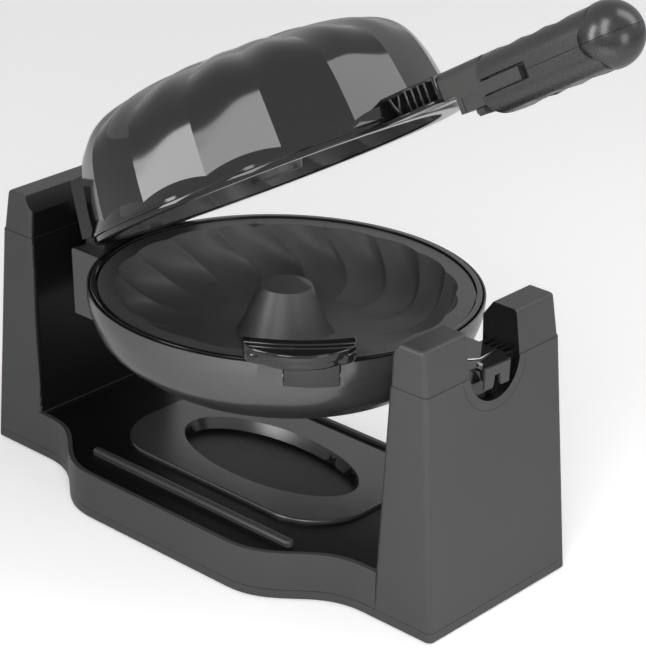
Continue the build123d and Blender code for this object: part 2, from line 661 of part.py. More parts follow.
def make_lower_housing():
    """Bowl with the hinge block and barrel at one side and the journal at the other."""
    block = side_profile(
        [
            (BLOCK_LEFT_X, BLOCK_TOP_Z),
            (BLOCK_LEFT_X + 3.0, BLOCK_BOTTOM_Z),
            (PAN_X - 40, BLOCK_BOTTOM_Z),
            (PAN_X - 40, BLOCK_TOP_Z),
        ],
        BLOCK_HALF,
    )
    block = chamfer(block.edges().filter_by(Axis.Y).group_by(Axis.X)[0], 1.2)
    boss = span(BLOCK_LEFT_X, BOSS_RIGHT_X, -BOSS_HALF, BOSS_HALF, AXIS_Z - 20, BOSS_TOP_Z)
    boss = fillet(boss.edges().filter_by(Axis.Y).group_by(Axis.Z)[-1], 4.0)
    web = side_profile(
        [
            (BOSS_RIGHT_X - 4, HINGE_Z - 8.0),
            (BOSS_RIGHT_X - 4, HINGE_Z + 3.0),
            (HINGE_X, HINGE_Z + KNUCKLE_RADIUS - 0.1),
            (HINGE_X, HINGE_Z - KNUCKLE_RADIUS + 0.1),
        ],
        BARREL_HALF,
    )
    barrel = rod_along_y(HINGE_X, HINGE_Z, -BARREL_HALF, BARREL_HALF, KNUCKLE_RADIUS)
    journal = rod_along_x(JOURNAL_START_X, JOURNAL_END_X, JOURNAL_RADIUS)
    neck = rod_along_x(PAN_X + BOWL_FLOOR_RADIUS + 20, JOURNAL_START_X, JOURNAL_RADIUS - 4)
    stub = rod_along_x(JOURNAL_END_X - 1, ROOT_END_X + 0.6, JOURNAL_RADIUS - 8)
    reach = JOURNAL_RADIUS + 10
    above = span(PAN_X, BASE_HALF_LENGTH + 5, -reach, reach, AXIS_Z - 0.4, AXIS_Z + reach)
    lug = (journal + neck + stub) - above
    solid = block + boss + bowl_solid(0) + lug - rim_room() + web + barrel
    solid -= bowl_solid(BOWL_WALL)
    solid -= journal_pockets(-reach, -0.4)
    solid -= span(JOURNAL_END_X - 2, ROOT_END_X + 2, -2.6, 2.6, AXIS_Z - 20, AXIS_Z - 4.8)
    solid -= rod_along_y(HINGE_X, HINGE_Z, -BLOCK_HALF, BLOCK_HALF, PIN_RADIUS + PIN_RUN)
    solid -= rod_along_x(BLOCK_LEFT_X - 1, BLOCK_LEFT_X + 12, SHAFT_BORE)
    for step in range(4):
        turn = math.radians(45 + 90 * step)
        y, z = 9.2 * math.cos(turn), AXIS_Z + 9.2 * math.sin(turn)
        solid -= rod_along_x(BLOCK_LEFT_X - 1, BLOCK_LEFT_X + 8, 1.1, y=y, z=z)
    return solid


def rim_room():
    """Room above the bowl for the rim, the mould and the closed lid's flange."""
    rise = SKIRT_FOOT_RISE + 1.6
    low = -RIM_HEIGHT - RIM_TOP_DROP
    edge = BOWL_TOP_RADIUS - BOWL_EDGE
    return turned([(0, low), (edge, low), (edge, rise), (0, rise)])


def journal_pockets(low, high):
    """Ribbed hollows in the side of the journal between two heights over the axis."""
    start, end = JOURNAL_START_X + 2.4, JOURNAL_END_X - 2.4
    ring = rod_along_x(start, end, JOURNAL_RADIUS + 2) - rod_along_x(start, end, JOURNAL_RADIUS - 5)
    reach = JOURNAL_RADIUS + 10
    pocket = ring & span(start, end, -reach, reach, AXIS_Z + low, AXIS_Z + high)
    for step in range(3):
        x = start + (end - start) * (step + 1) / 4
        pocket -= span(x - 0.9, x + 0.9, -reach, reach, AXIS_Z - reach, AXIS_Z + reach)
    return pocket


def make_lower_rim():
    """Gloss ring inside the bowl's edge, with a ledge that the mould sits on."""
    skirt_in = RIM_RADIUS - RIM_SKIRT
    top = -RIM_TOP_DROP
    ledge = -RIM_LEDGE_DROP
    points = [
        (RIM_RADIUS, -RIM_HEIGHT - RIM_TOP_DROP),
        (RIM_RADIUS, top - 0.8),
        (RIM_RADIUS - 0.5, top),
        (RIM_STEP_RADIUS + 0.5, top),
        (RIM_STEP_RADIUS, top - 0.7),
        (RIM_STEP_RADIUS, ledge),
        (RIM_LEDGE_RADIUS, ledge),
        (RIM_LEDGE_RADIUS, ledge - 2.0),
        (skirt_in, ledge - 2.0),
        (skirt_in, -RIM_HEIGHT - RIM_TOP_DROP),
    ]
    return turned(points)


def mould_blank(depth, outward, edge):
    """Profile of a mould's metal: flange, outer wall, floor and centre post."""
    foot = CAVITY_RADIUS - CAVITY_DRAFT
    plate, wall = MOULD_PLATE, MOULD_WALL
    floor = depth + 3.0
    outer = [
        (0, 3.0),
        (edge, 3.0),
        (edge, 3.0 + plate),
        (CAVITY_RADIUS + wall, 3.0 + plate),
        (foot + wall, floor),
        (foot + wall - 3.0, floor + 3.0),
        (POST_FOOT_RADIUS - 3.0, floor + 3.0),
        (POST_TOP_RADIUS - 3.0, 3.0 + 3.5),
        (0, 3.0 + 3.5),
    ]
    return [(r, outward * h) for r, h in outer]


def cavity_radius(share):
    """Radius over the flutes, from the mould's mouth at 0 to its floor at 1."""
    round_in = 1.0 - math.sqrt(1.0 - max(share, 0) ** 4)
    return CAVITY_RADIUS - CAVITY_DRAFT * share - CAVITY_ROUND * round_in


def flute_face(radius, deep, turn, height):
    """Ring of arcs that bulge outwards and meet in ridges, turned by an angle."""
    arcs = []
    for step in range(FLUTE_COUNT):
        turns = [math.radians(turn + (step + part) * FLUTE_STEP) for part in (0, 0.5, 1)]
        reach = (radius - deep, radius, radius - deep)
        ends = [(r * math.cos(a), r * math.sin(a)) for r, a in zip(reach, turns)]
        arcs.append(ThreePointArc(*ends))
    return Pos(0, 0, height) * make_face(arcs)


def mould_cavity(depth, outward):
    """Ring-shaped room of a mould: swirled flutes outside, a hollow post in the middle."""
    floor = depth + 3.0
    sections = []
    for share in (-0.08, 0.2, 0.5, 0.75, 0.92, 1.0):
        height = outward * (3.0 + depth * share)
        deep = FLUTE_DEPTH * min(1.0, 0.45 + max(share, 0))
        sections.append(flute_face(cavity_radius(share), deep, FLUTE_TWIST * share * outward, height))
    if outward < 0:
        sections.reverse()
    post = revolve(
        Plane.XZ * outline_face(
            [
                (0, outward * 1.0),
                (POST_TOP_RADIUS, outward * 1.0),
                (POST_FOOT_RADIUS, outward * (floor - 3.0)),
                (POST_FOOT_RADIUS + 3.0, outward * (floor + 0.5)),
                (0, outward * (floor + 0.5)),
            ]
        ),
        Axis.Z,
    )
    return loft(sections) - post


def make_mould(depth, outward, seat, edge):
    """Cast mould: blank less its cavity."""
    blank = revolve(Plane.XZ * outline_face(mould_blank(depth, outward, edge)), Axis.Z)
    return Pos(PAN_X, 0, PARTING_Z + seat) * (blank - mould_cavity(depth, outward))


def make_lower_mould():
    """Shallow mould in the pan, resting on the rim's ledge."""
    seat = -RIM_LEDGE_DROP + 3.0 + MOULD_PLATE
    return make_mould(LOWER_CAVITY_DEPTH, -1, seat, MOULD_EDGE_RADIUS)


def make_upper_mould():
    """Deep mould in the lid, held by the lid rim's ledge."""
    seat = LID_RIM_BOTTOM + LID_RIM_LEDGE - 3.0
    return make_mould(UPPER_CAVITY_DEPTH, 1, seat, CAVITY_RADIUS + MOULD_WALL + 0.3)


def element_ring(radius, height):
    """Round heating rod bent to an open ring, with its two cold ends."""
    ring = Pos(PAN_X, 0, height) * Torus(radius, ELEMENT_ROD)
    return ring


def lower_floor():
    """Height of the lower mould's underside."""
    return PARTING_Z - RIM_LEDGE_DROP + MOULD_PLATE - LOWER_CAVITY_DEPTH - 6.0 + 3.0


def upper_ceiling():
    """Height of the upper mould's back."""
    return PARTING_Z + LID_RIM_BOTTOM + LID_RIM_LEDGE + UPPER_CAVITY_DEPTH + 3.0


def make_lower_element():
    """Heating ring pressed against the underside of the lower mould."""
    return element_ring(ELEMENT_RADIUS, lower_floor() - ELEMENT_ROD - 0.3)


def make_upper_element():
    """Heating ring over the back of the upper mould."""
    return element_ring(UPPER_ELEMENT_RADIUS, upper_ceiling() + ELEMENT_ROD + 0.3)


def make_lower_reflector():
    """Thin dish on the bowl's floor, with posts up to the heating ring."""
    dish = bowl_solid(BOWL_WALL + 0.1) - bowl_solid(BOWL_WALL + 0.1 + REFLECTOR_SHEET)
    dish -= Pos(PAN_X, 0, PARTING_Z) * Cylinder(BOWL_TOP_RADIUS, BOWL_DEPTH)
    dish_floor = PARTING_Z - BOWL_DEPTH + BOWL_WALL
    top = lower_floor() - 2 * ELEMENT_ROD - 0.4
    for step in range(3):
        post = Pos(PAN_X + ELEMENT_RADIUS, 0, (dish_floor + top) / 2) * Cylinder(3, top - dish_floor)
        dish += around_pan(post, 120 * step) - bowl_outside()
    return dish


def bowl_outside():
    """Everything outside the bowl's inner face, as a block with the bowl cut out."""
    block = Pos(PAN_X, 0, PARTING_Z - BOWL_DEPTH) * Cylinder(BOWL_TOP_RADIUS, 2 * BOWL_DEPTH)
    return block - bowl_solid(BOWL_WALL + 0.1)


def make_upper_reflector():
    """Thin disc over the upper heating ring, hung on three posts from the cover."""
    low = upper_ceiling() + 2 * ELEMENT_ROD + 0.6 - PARTING_Z
    bore, edge = UPPER_DISC_MARGIN, UPPER_ELEMENT_RADIUS + UPPER_DISC_MARGIN
    sheet = REFLECTOR_SHEET
    disc = turned([(bore, low + 2.0), (edge, low), (edge, low + sheet), (bore, low + 2.0 + sheet)])
    foot = upper_ceiling() + 0.2
    top = PARTING_Z + DOME_HUB[1]
    post = Pos(PAN_X + POST_RING_RADIUS, 0, (foot + top) / 2) * Cylinder(3, top - foot)
    for step in range(3):
        disc += around_pan(post, 120 * step) & lid_inside()
    return disc


def make_thermostat(z, x_shift):
    """Round snap-action thermostat with two blades."""
    body = Pos(0, 0, 3) * Cylinder(8, 6)
    cap = Pos(0, 0, 7) * Cylinder(6, 2)
    blades = Pos(0, 5, 9) * Box(5, 0.8, 4) + Pos(0, -5, 9) * Box(5, 0.8, 4)
    return Pos(PAN_X + x_shift, 0, z) * (body + cap + blades)


def make_end_plate():
    """Plate on the end of the pan's journal, with a slot open at the bottom."""
    x0 = ROOT_END_X + 0.6
    x1 = x0 + 1.5
    plate = span(x0, x1, -9.6, 9.6, AXIS_Z - 12, AXIS_Z - 0.4)
    slot = Plane.YZ * outline_face(
        [
            (-3.4, AXIS_Z - 13),
            (3.4, AXIS_Z - 13),
            (2.2, AXIS_Z - 8.0),
            (2.2, AXIS_Z - 5.6),
            (-2.2, AXIS_Z - 5.6),
            (-2.2, AXIS_Z - 8.0),
        ]
    )
    return plate - Pos(x0 - 1, 0, 0) * extrude(slot, amount=4)


def make_hinge_pin():
    """Pin through the barrel and both lid arms."""
    end = BARREL_HALF + SIDE_RUN + ARM_WIDTH - 1.0
    return rod_along_y(HINGE_X, HINGE_Z, -end, end, PIN_RADIUS)


def dome_curve():
    """Outline over the middle of a lobe, as radius and height, from foot to hub."""
    points = [DOME_FOOT, DOME_WAIST, DOME_SHOULDER, DOME_EDGE, DOME_CROWN, DOME_HUB]
    return Spline(*points, tangents=[(-0.05, 1), (-1, 0.02)])


def crease_offset(share, radius, facing):
    """How far the crease lies inside the lobe's middle, level with it.

    share runs from 0 at the foot to 1 at the hub, and facing is the level part of the normal.
    """
    rise = min(max((share - FACET_SHARE) / (PETAL_SHARE - FACET_SHARE), 0.0), 1.0)
    blend = rise * rise * (3 - 2 * rise)
    fade = min((1.0 - share) / 0.3, 1.0)
    depth = (-FACET_PROUD * (1 - blend) + PETAL_DEPTH * blend) * fade
    return min(depth / max(facing, 0.12), PETAL_LIMIT * radius)


def lobe_face(share):
    """Outline of the drum at one height: a ring of arcs that meet in creases."""
    curve = dome_curve()
    place = curve @ share
    run = curve % share
    radius, rise = place.X, place.Y
    crease = radius - crease_offset(share, radius, abs(run.Y))
    arcs = []
    for step in range(LOBE_COUNT):
        turns = [math.radians(CREASE_AZIMUTH + (step + part) * LOBE_STEP) for part in (0, 0.5, 1)]
        reach = (crease, radius, crease)
        ends = [(r * math.cos(a), r * math.sin(a)) for r, a in zip(reach, turns)]
        arcs.append(ThreePointArc(*ends))
    return Pos(0, 0, rise) * make_face(arcs)


def lid_outer():
    """Outer form of the lid housing, filled: lobed drum on the turned flange."""
    sections = [lobe_face(step / LOBE_SECTIONS) for step in range(LOBE_SECTIONS + 1)]
    drum = loft(sections)
    flange = revolve(
        Plane.XZ * outline_face(
            [
                (0, FLANGE_BOTTOM),
                (FLANGE_RADIUS, FLANGE_BOTTOM),
                (FLANGE_RADIUS, FLANGE_EDGE),
                (SKIRT_FOOT_RADIUS, SKIRT_FOOT_RISE),
                (SKIRT_TOP_RADIUS, SKIRT_TOP_RISE),
                (0, SKIRT_TOP_RISE),
            ]
        ),
        Axis.Z,
    )
    return Pos(PAN_X, 0, PARTING_Z) * (drum + flange)


def make_lid_housing(outer):
    """Lid cover, hollow from below, with a hollow beside the hinge barrel."""
    end = BARREL_HALF + SIDE_RUN
    beside = rod_along_y(HINGE_X, HINGE_Z, -end, end, KNUCKLE_RADIUS + 0.5)
    return outer - lid_inside() - beside


def lid_inside():
    """Hollow of the lid cover, open at the bottom."""
    wall = LID_WALL
    waist_r, waist_h = DOME_WAIST
    shoulder_r, shoulder_h = DOME_SHOULDER
    edge_r, edge_h = DOME_EDGE
    crown_r, crown_h = DOME_CROWN
    hub_r, hub_h = DOME_HUB
    foot = CAVITY_RADIUS + MOULD_WALL + 0.6
    return turned(
        [
            (0, FLANGE_BOTTOM - 1),
            (foot, FLANGE_BOTTOM - 1),
            (foot, SKIRT_FOOT_RISE + 0.6),
            (waist_r - wall + 0.5, waist_h - 10),
            (waist_r - wall, waist_h),
            (shoulder_r - 0.2, shoulder_h - 7.0),
            (shoulder_r - wall - 2.6, shoulder_h - 1.0),
            (edge_r - wall - 4.4, edge_h - 2.6),
            (crown_r - wall - 6.0, crown_h - wall - 0.6),
            (hub_r, hub_h - wall),
            (0, hub_h - wall),
        ]
    )


def make_lid_rim():
    """Gloss ring under the lid's flange, with the ledge for the upper mould."""
    low = LID_RIM_BOTTOM
    inner = CAVITY_RADIUS + 1.2
    ledge_r = CAVITY_RADIUS + MOULD_WALL + 0.5
    points = [
        (inner, low),
        (LID_RIM_RADIUS - 1.0, low),
        (LID_RIM_RADIUS, low + 1.0),
        (LID_RIM_RADIUS, FLANGE_BOTTOM),
        (ledge_r, FLANGE_BOTTOM),
        (ledge_r, low + LID_RIM_LEDGE),
        (inner, low + LID_RIM_LEDGE),
    ]
    return turned(points)


def make_hinge_arms(outer):
    """Two cheeks on the lid that hold the hinge pin at either end."""
    outline = [
        (HINGE_X - 20.5, HINGE_Z - 4.5),
        (HINGE_X - 13.5, HINGE_Z + 25.5),
        (HINGE_X - 11.5, HINGE_Z + 27.5),
        (HINGE_X + 7.0, HINGE_Z + 27.5),
        (HINGE_X + 20.0, HINGE_Z + 20.0),
        (HINGE_X + 20.0, HINGE_Z + 2.0),
        (HINGE_X + 3.0, HINGE_Z - 4.6),
        (HINGE_X - 12.0, HINGE_Z - 5.4),
    ]
    middle = BARREL_HALF + SIDE_RUN + ARM_WIDTH / 2
    arms = Part()
    for side in (-1, 1):
        arms += side_profile(outline, ARM_WIDTH / 2, side * middle)
    arms -= rod_along_y(HINGE_X, HINGE_Z, -BLOCK_HALF - 1, BLOCK_HALF + 1, PIN_RADIUS + 0.02)
    return arms - outer - under_flange()


def under_flange():
    """Room under the lid's flange, where its rim ring is."""
    radius = FLANGE_RADIUS + 0.1
    return turned([(0, -20), (radius, -20), (radius, FLANGE_BOTTOM), (0, FLANGE_BOTTOM)])


def make_lid_journal(outer):
    """Upper half of the journal on the lid, with ribbed pockets in its sides."""
    journal = rod_along_x(ROOT_START_X, LID_JOURNAL_END_X, JOURNAL_RADIUS)
    reach = JOURNAL_RADIUS + 10
    journal = journal & span(ROOT_START_X, BASE_HALF_LENGTH, -reach, reach, AXIS_Z + 0.4, AXIS_Z + reach)
    for side in (-1, 1):
        y0, y1 = sorted((side * (JOURNAL_RADIUS + 1), side * (JOURNAL_RADIUS - 8.0)))
        start, end = ROOT_START_X + 16.0, LID_JOURNAL_END_X - 2.4
        pocket = span(start, end, y0, y1, AXIS_Z + 2.6, AXIS_Z + 13.2)
        for share in (0.45, 0.6, 0.75, 0.9):
            x = start + share * (end - start)
            pocket -= span(x - 0.8, x + 0.8, y0, y1, AXIS_Z, AXIS_Z + 20)
        journal -= pocket
    return journal - outer - under_flange()


def make_neck():
    """Flat-sided neck from the journal to the grip, with the tang and side tongues."""
    x0 = LID_JOURNAL_END_X + 0.1
    profile = [
        (x0, NECK_SIDE_Z),
        (x0, NECK_TOP_Z),
        (NECK_END_X + 3.0, NECK_TOP_Z),
        (NECK_END_X, NECK_SIDE_Z),
        (NECK_END_X, NECK_PAD_Z),
        (NECK_PAD_START_X, NECK_PAD_Z),
        (NECK_PAD_START_X, NECK_SIDE_Z),
    ]
    neck = side_profile(profile, NECK_HALF_WIDTH)
    top_edges = neck.edges().filter_by(Axis.X).group_by(Axis.Z)[-1]
    neck = fillet(top_edges, 5.0)
    step_room = span(NECK_PAD_START_X + 3.0, NECK_PAD_START_X + 12.0, -20, 20,
                     NECK_PAD_Z - 1, NECK_SIDE_Z - 2.0)
    for side in (-1, 1):
        y0, y1 = sorted((side * (NECK_HALF_WIDTH - 0.6), side * 20))
        neck -= step_room & span(NECK_PAD_START_X, NECK_END_X, y0, y1, 0, NECK_SIDE_Z)
    neck += span(NECK_END_X - 1, NECK_END_X + TANG_LENGTH, -TANG_HALF_WIDTH, TANG_HALF_WIDTH,
                 GRIP_Z - TANG_HEIGHT / 2, GRIP_Z + TANG_HEIGHT / 2)
    for side in (-1, 1):
        y0, y1 = sorted((side * (NECK_HALF_WIDTH - 3.0), side * NECK_HALF_WIDTH))
        neck += span(NECK_END_X - 1, NECK_END_X + TONGUE_LENGTH, y0, y1,
                     GRIP_Z - TONGUE_HEIGHT / 2, GRIP_Z + TONGUE_HEIGHT / 2)
    for x in GRIP_SCREW_XS:
        neck -= Pos(x, 0, GRIP_Z) * Cylinder(SCREW_RADIUS + 0.3, 40)
    return neck - latch_room()


def latch_room():
    """Channel in the neck that the latch slides in."""
    fit = GRIP_FIT
    high = LATCH_BOLT_Z + LATCH_BOLT_HEIGHT
    key_end = LATCH_KEY_X + LATCH_KEY_LENGTH + fit
    key = span(LATCH_KEY_X - LATCH_TRAVEL - fit, key_end, -4.0 - fit, 4.0 + fit,
               high - fit, high + 4.0 + fit)
    bolt = span(NECK_PAD_START_X - 2, key_end, -1.6 - fit, 1.6 + fit, NECK_PAD_Z - 2, high + fit)
    return key + bolt


def make_latch_slider():
    """Sliding bolt in the neck, with a ribbed thumb piece below it."""
    low = LATCH_BOLT_Z
    high = low + LATCH_BOLT_HEIGHT
    key_end = LATCH_KEY_X + LATCH_KEY_LENGTH
    slider = span(LATCH_KEY_X, key_end, -4.0, 4.0, high, high + 4.0)
    slider += span(LATCH_TIP_X, key_end, -1.6, 1.6, low, high + 0.1)
    thumb_top = NECK_PAD_Z - GRIP_FIT
    slider += span(THUMB_X, THUMB_X + THUMB_LENGTH, -6.4, 6.4, thumb_top - 2.2, thumb_top)
    for step in range(3):
        x = THUMB_X + 0.8 + step * (THUMB_LENGTH - 1.6) / 2
        slider += span(x - 0.6, x + 0.6, -5.8, 5.8, thumb_top - 3.4, thumb_top - 2.1)
    return slider


def grip_body():
    """Filled grip, flat at the sides, with finger waves and a ball end."""
    x0 = NECK_END_X + 0.3
    ball_x = GRIP_END_X - BALL_DIAMETER / 2
    section = Plane.YZ * RectangleRounded(GRIP_WIDTH, GRIP_HEIGHT, GRIP_CORNER)
    body = Pos(x0 - 1, 0, GRIP_Z) * extrude(section, amount=ball_x - x0)
    ball = Pos(ball_x, 0, GRIP_Z) * Sphere(BALL_DIAMETER / 2)
    half = GRIP_HEIGHT / 2
    for step in range(WAVE_COUNT):
        x = x0 + WAVE_START + step * WAVE_PITCH
        for side in (-1, 1):
            z = GRIP_Z + side * (half + WAVE_RADIUS - WAVE_DEPTH)
            body -= rod_along_y(x, z, -30, 30, WAVE_RADIUS)
    front = side_profile(
        [
            (x0, GRIP_Z),
            (x0, NECK_SIDE_Z + 0.4),
            (x0 + 3.4, GRIP_Z + half + 1),
            (GRIP_END_X + 5, GRIP_Z + half + 1),
            (GRIP_END_X + 5, GRIP_Z - half - 1),
            (x0 + 8.5, GRIP_Z - half - 1),
            (x0 + 4.2, GRIP_Z - half + 1.0),
            (x0 + 1.2, GRIP_Z - half + 4.6),
            (x0, GRIP_Z - half + 9.4),
        ],
        30,
    )
    return (body & front) + ball


def make_grip_half(upper):
    """One moulding of the grip, above or below its parting line."""
    solid = grip_body()
    fit = GRIP_FIT
    solid -= span(NECK_END_X - 2, NECK_END_X + TANG_LENGTH + 1, -TANG_HALF_WIDTH - fit,
                  TANG_HALF_WIDTH + fit, GRIP_Z - TANG_HEIGHT / 2 - fit,
                  GRIP_Z + TANG_HEIGHT / 2 + fit)
    for side in (-1, 1):
        y0, y1 = sorted((side * (NECK_HALF_WIDTH - 3.0 - fit), side * 20))
        solid -= span(NECK_END_X - 2, NECK_END_X + WINDOW_LENGTH, y0, y1,
                      GRIP_Z - WINDOW_HEIGHT / 2, GRIP_Z + WINDOW_HEIGHT / 2)
    if upper:
        solid -= grip_screw_room(0.02)
        return solid & grip_side(0.1, BALL_DIAMETER)
    solid -= grip_screw_room(0.2)
    return solid & grip_side(-BALL_DIAMETER, -0.1)


def grip_side(low, high):
    """Block that holds the part of the grip between two heights over its middle."""
    half = BALL_DIAMETER
    return span(NECK_END_X - 1, GRIP_END_X + 1, -half, half, GRIP_Z + low, GRIP_Z + high)


def grip_screw_room(gap):
    """Holes for the two grip screws, with a gap round the shank."""
    holes = Part()
    low = GRIP_Z - GRIP_HEIGHT / 2
    for x in GRIP_SCREW_XS:
        holes += Pos(x, 0, low + 8) * Cylinder(SCREW_RADIUS + gap, 30)
        holes += Pos(x, 0, low) * Cylinder(SCREW_HEAD_RADIUS + 0.2, 2 * SCREW_HEAD + 3.0)
    return holes


def make_grip_screws():
    """Two screws that draw the grip's halves together."""
    screws = Part()
    for x in GRIP_SCREW_XS:
        screws += Pos(x, 0, GRIP_Z - GRIP_HEIGHT / 2 + 0.9) * screw(16)
    return screws


def clip_frame(shape):
    """Place a piece drawn at azimuth zero on the front of the pan."""
    return around_pan(Pos(PAN_X, 0, PARTING_Z) * shape, CLIP_AZIMUTH)


def make_clip_block():
    """Two cheeks on the bowl's front that carry the clip's pin."""
    left_side = [
        (CLIP_FACE - 18, CLIP_LEFT - 17.0),
        (CLIP_FACE - 9.4, CLIP_LEFT - 15.9),
        (CLIP_FACE, CLIP_LEFT - 0.4),
        (CLIP_FACE - 18, CLIP_LEFT - 0.4),
    ]
    right_side = [
        (CLIP_FACE - 18, CLIP_RIGHT + 0.4),
        (CLIP_FACE, CLIP_RIGHT + 0.4),
        (CLIP_FACE - 0.8, CLIP_RIGHT + 2.4),
        (CLIP_FACE - 18, CLIP_RIGHT + 3.2),
    ]
    cheeks = extrude(outline_face(left_side), amount=CLIP_BLOCK_TOP - CLIP_BLOCK_BOTTOM)
    cheeks += extrude(outline_face(right_side), amount=CLIP_BLOCK_TOP - CLIP_BLOCK_BOTTOM)
    cheeks = Pos(0, 0, CLIP_BLOCK_BOTTOM) * cheeks
    cheeks -= rod_along_y(CLIP_PIVOT_RADIUS, CLIP_PIVOT_RISE, CLIP_PIN_LEFT - 0.2,
                          CLIP_RIGHT + 5, CLIP_PIN + 0.02)
    return clip_frame(cheeks) - rim_room() - bowl_solid(0)


def make_clip_lever():
    """Lever with the ridged thumb lip, a front plate and a hook for the lid's flange."""
    half = CLIP_WIDTH / 2
    back, front = CLIP_INNER_RADIUS, CLIP_OUTER_RADIUS
    corner = front - 7.0
    lip = make_face(
        [
            ThreePointArc((back - 4.4, half), (back, 0), (back - 4.4, -half)),
            ThreePointArc((back - 4.4, -half), (back + 5.5, -half + 0.4), (corner, -half + 7.5)),
            ThreePointArc((corner, -half + 7.5), (front, 0), (corner, half - 7.5)),
            ThreePointArc((corner, half - 7.5), (back + 5.5, half - 0.4), (back - 4.4, half)),
        ]
    )
    lip = Pos(0, 0, CLIP_LIP_TOP - CLIP_LIP) * extrude(lip, amount=CLIP_LIP, dir=(0, 0, 1))
    lip = fillet(lip.faces().sort_by(Axis.Z)[-1].edges(), 1.0)
    for step in range(3):
        radius = back + 6.0 + 4.4 * step
        groove = Cylinder(radius + 0.7, 1.0) - Cylinder(radius - 0.7, 1.0)
        groove = groove & span(0, front, -half + 6 + 2 * step, half - 6 - 2 * step, -5, 5)
        lip -= Pos(0, 0, CLIP_LIP_TOP) * groove
    middle = (CLIP_LEFT + CLIP_RIGHT) / 2
    face = CLIP_FACE + 0.2
    plate = make_face(
        [
            Line((CLIP_PLATE, CLIP_LEFT), (face, CLIP_LEFT)),
            ThreePointArc((face, CLIP_LEFT), (face + 1.0, middle), (face, CLIP_RIGHT)),
            Line((face, CLIP_RIGHT), (CLIP_PLATE, CLIP_RIGHT)),
            Line((CLIP_PLATE, CLIP_RIGHT), (CLIP_PLATE, CLIP_LEFT)),
        ]
    )
    bottom = CLIP_BLOCK_BOTTOM + 0.6
    plate = Pos(0, 0, bottom) * extrude(plate, amount=CLIP_LIP_TOP - 1 - bottom, dir=(0, 0, 1))
    under = CLIP_LIP_TOP - CLIP_LIP
    hook = side_profile(
        [
            (CLIP_HOOK, CLIP_HOOK_RISE + 1.4),
            (CLIP_HOOK + 0.8, CLIP_HOOK_RISE),
            (CLIP_PLATE + 0.5, CLIP_HOOK_RISE),
            (CLIP_PLATE + 0.5, under + 0.5),
            (CLIP_HOOK, under + 0.3),
        ],
        7.0,
    )
    knuckle = rod_along_y(CLIP_PIVOT_RADIUS, CLIP_PIVOT_RISE, CLIP_LEFT, CLIP_RIGHT, CLIP_KNUCKLE)
    lever = lip + plate + hook + knuckle
    lever -= rod_along_y(CLIP_PIVOT_RADIUS, CLIP_PIVOT_RISE, -half, half, CLIP_PIN + PIN_RUN)
    return clip_frame(lever)


def make_clip_pin():
    """Pin that the side clip tilts on."""
    pin = rod_along_y(CLIP_PIVOT_RADIUS, CLIP_PIVOT_RISE, CLIP_PIN_LEFT, CLIP_RIGHT + 2.0, CLIP_PIN)
    return clip_frame(pin)


def build():
    """All nodes by name, with the pan and the lid at their resting angles."""
    outer = lid_outer()
    base = {
        "base_tray": make_base_tray(),
        "base_shell": make_base_shell(),
        "left_tower_cap": make_left_cap(),
        "right_tower_cap": make_right_cap(),
        "drip_tray": make_drip_tray(),
        "rubber_feet": make_feet(),
        "base_screws": make_base_screws(),
        "pivot_bush": make_pivot_bush(),
        "cord_gland": make_cord_gland(),
        "terminal_block": make_terminal_block(),
    }
    pan = {
        "lower_housing": make_lower_housing(),
        "lower_rim": make_lower_rim(),
        "lower_mould": make_lower_mould(),
        "lower_element": make_lower_element(),
        "lower_reflector": make_lower_reflector(),
        "lower_thermostat": make_thermostat(PARTING_Z - BOWL_DEPTH + BOWL_WALL + 1.6, -24),
        "journal_end_plate": make_end_plate(),
        "pivot_shaft": make_pivot_shaft(),
        "shaft_clip": make_shaft_clip(),
        "hinge_pin": make_hinge_pin(),
        "clip_block": make_clip_block(),
        "clip_pin": make_clip_pin(),
        "clip_lever": make_clip_lever(),
    }
    lid = {
        "lid_housing": make_lid_housing(outer),
        "lid_rim": make_lid_rim(),
        "upper_mould": make_upper_mould(),
        "upper_element": make_upper_element(),
        "upper_reflector": make_upper_reflector(),
        "hinge_arms": make_hinge_arms(outer),
        "lid_journal": make_lid_journal(outer),
        "handle_neck": make_neck(),
        "latch_slider": make_latch_slider(),
        "grip_upper": make_grip_half(True),
        "grip_lower": make_grip_half(False),
        "grip_screws": make_grip_screws(),
    }
    nodes = dict(base)
    for name, shape in pan.items():
        nodes[name] = tipped(shape)
    for name, shape in lid.items():
        nodes[name] = tipped(opened(shape))
    return {name: Pos(-MIDDLE_X, 0, 0) * shape for name, shape in nodes.items()}


def main():
    """Write one STEP file for each node."""
    os.makedirs("parts", exist_ok=True)
    for name, shape in build().items():
        export_step(shape, f"parts/{name}.step")
        print(name, "solids", len(shape.solids()))


main()
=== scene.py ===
"""Looks of a turn-over cake maker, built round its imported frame."""

import logging
import math
from dataclasses import dataclass
from enum import Enum
from typing import Callable, Iterable, Sequence

import bmesh
import bpy
from mathutils import Matrix, Vector


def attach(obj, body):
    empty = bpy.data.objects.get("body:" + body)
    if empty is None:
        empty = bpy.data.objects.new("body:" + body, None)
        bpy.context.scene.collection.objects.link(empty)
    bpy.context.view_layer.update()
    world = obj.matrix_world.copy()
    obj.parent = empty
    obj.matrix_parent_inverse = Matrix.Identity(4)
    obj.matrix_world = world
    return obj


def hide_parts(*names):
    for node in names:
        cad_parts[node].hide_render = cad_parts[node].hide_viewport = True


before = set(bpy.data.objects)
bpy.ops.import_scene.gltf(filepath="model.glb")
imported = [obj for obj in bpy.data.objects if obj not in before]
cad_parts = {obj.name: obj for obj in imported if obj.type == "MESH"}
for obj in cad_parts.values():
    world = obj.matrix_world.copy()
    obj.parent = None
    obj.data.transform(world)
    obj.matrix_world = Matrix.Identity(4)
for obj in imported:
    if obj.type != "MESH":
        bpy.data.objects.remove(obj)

LOG = logging.getLogger("cake_maker")
MM = 0.001
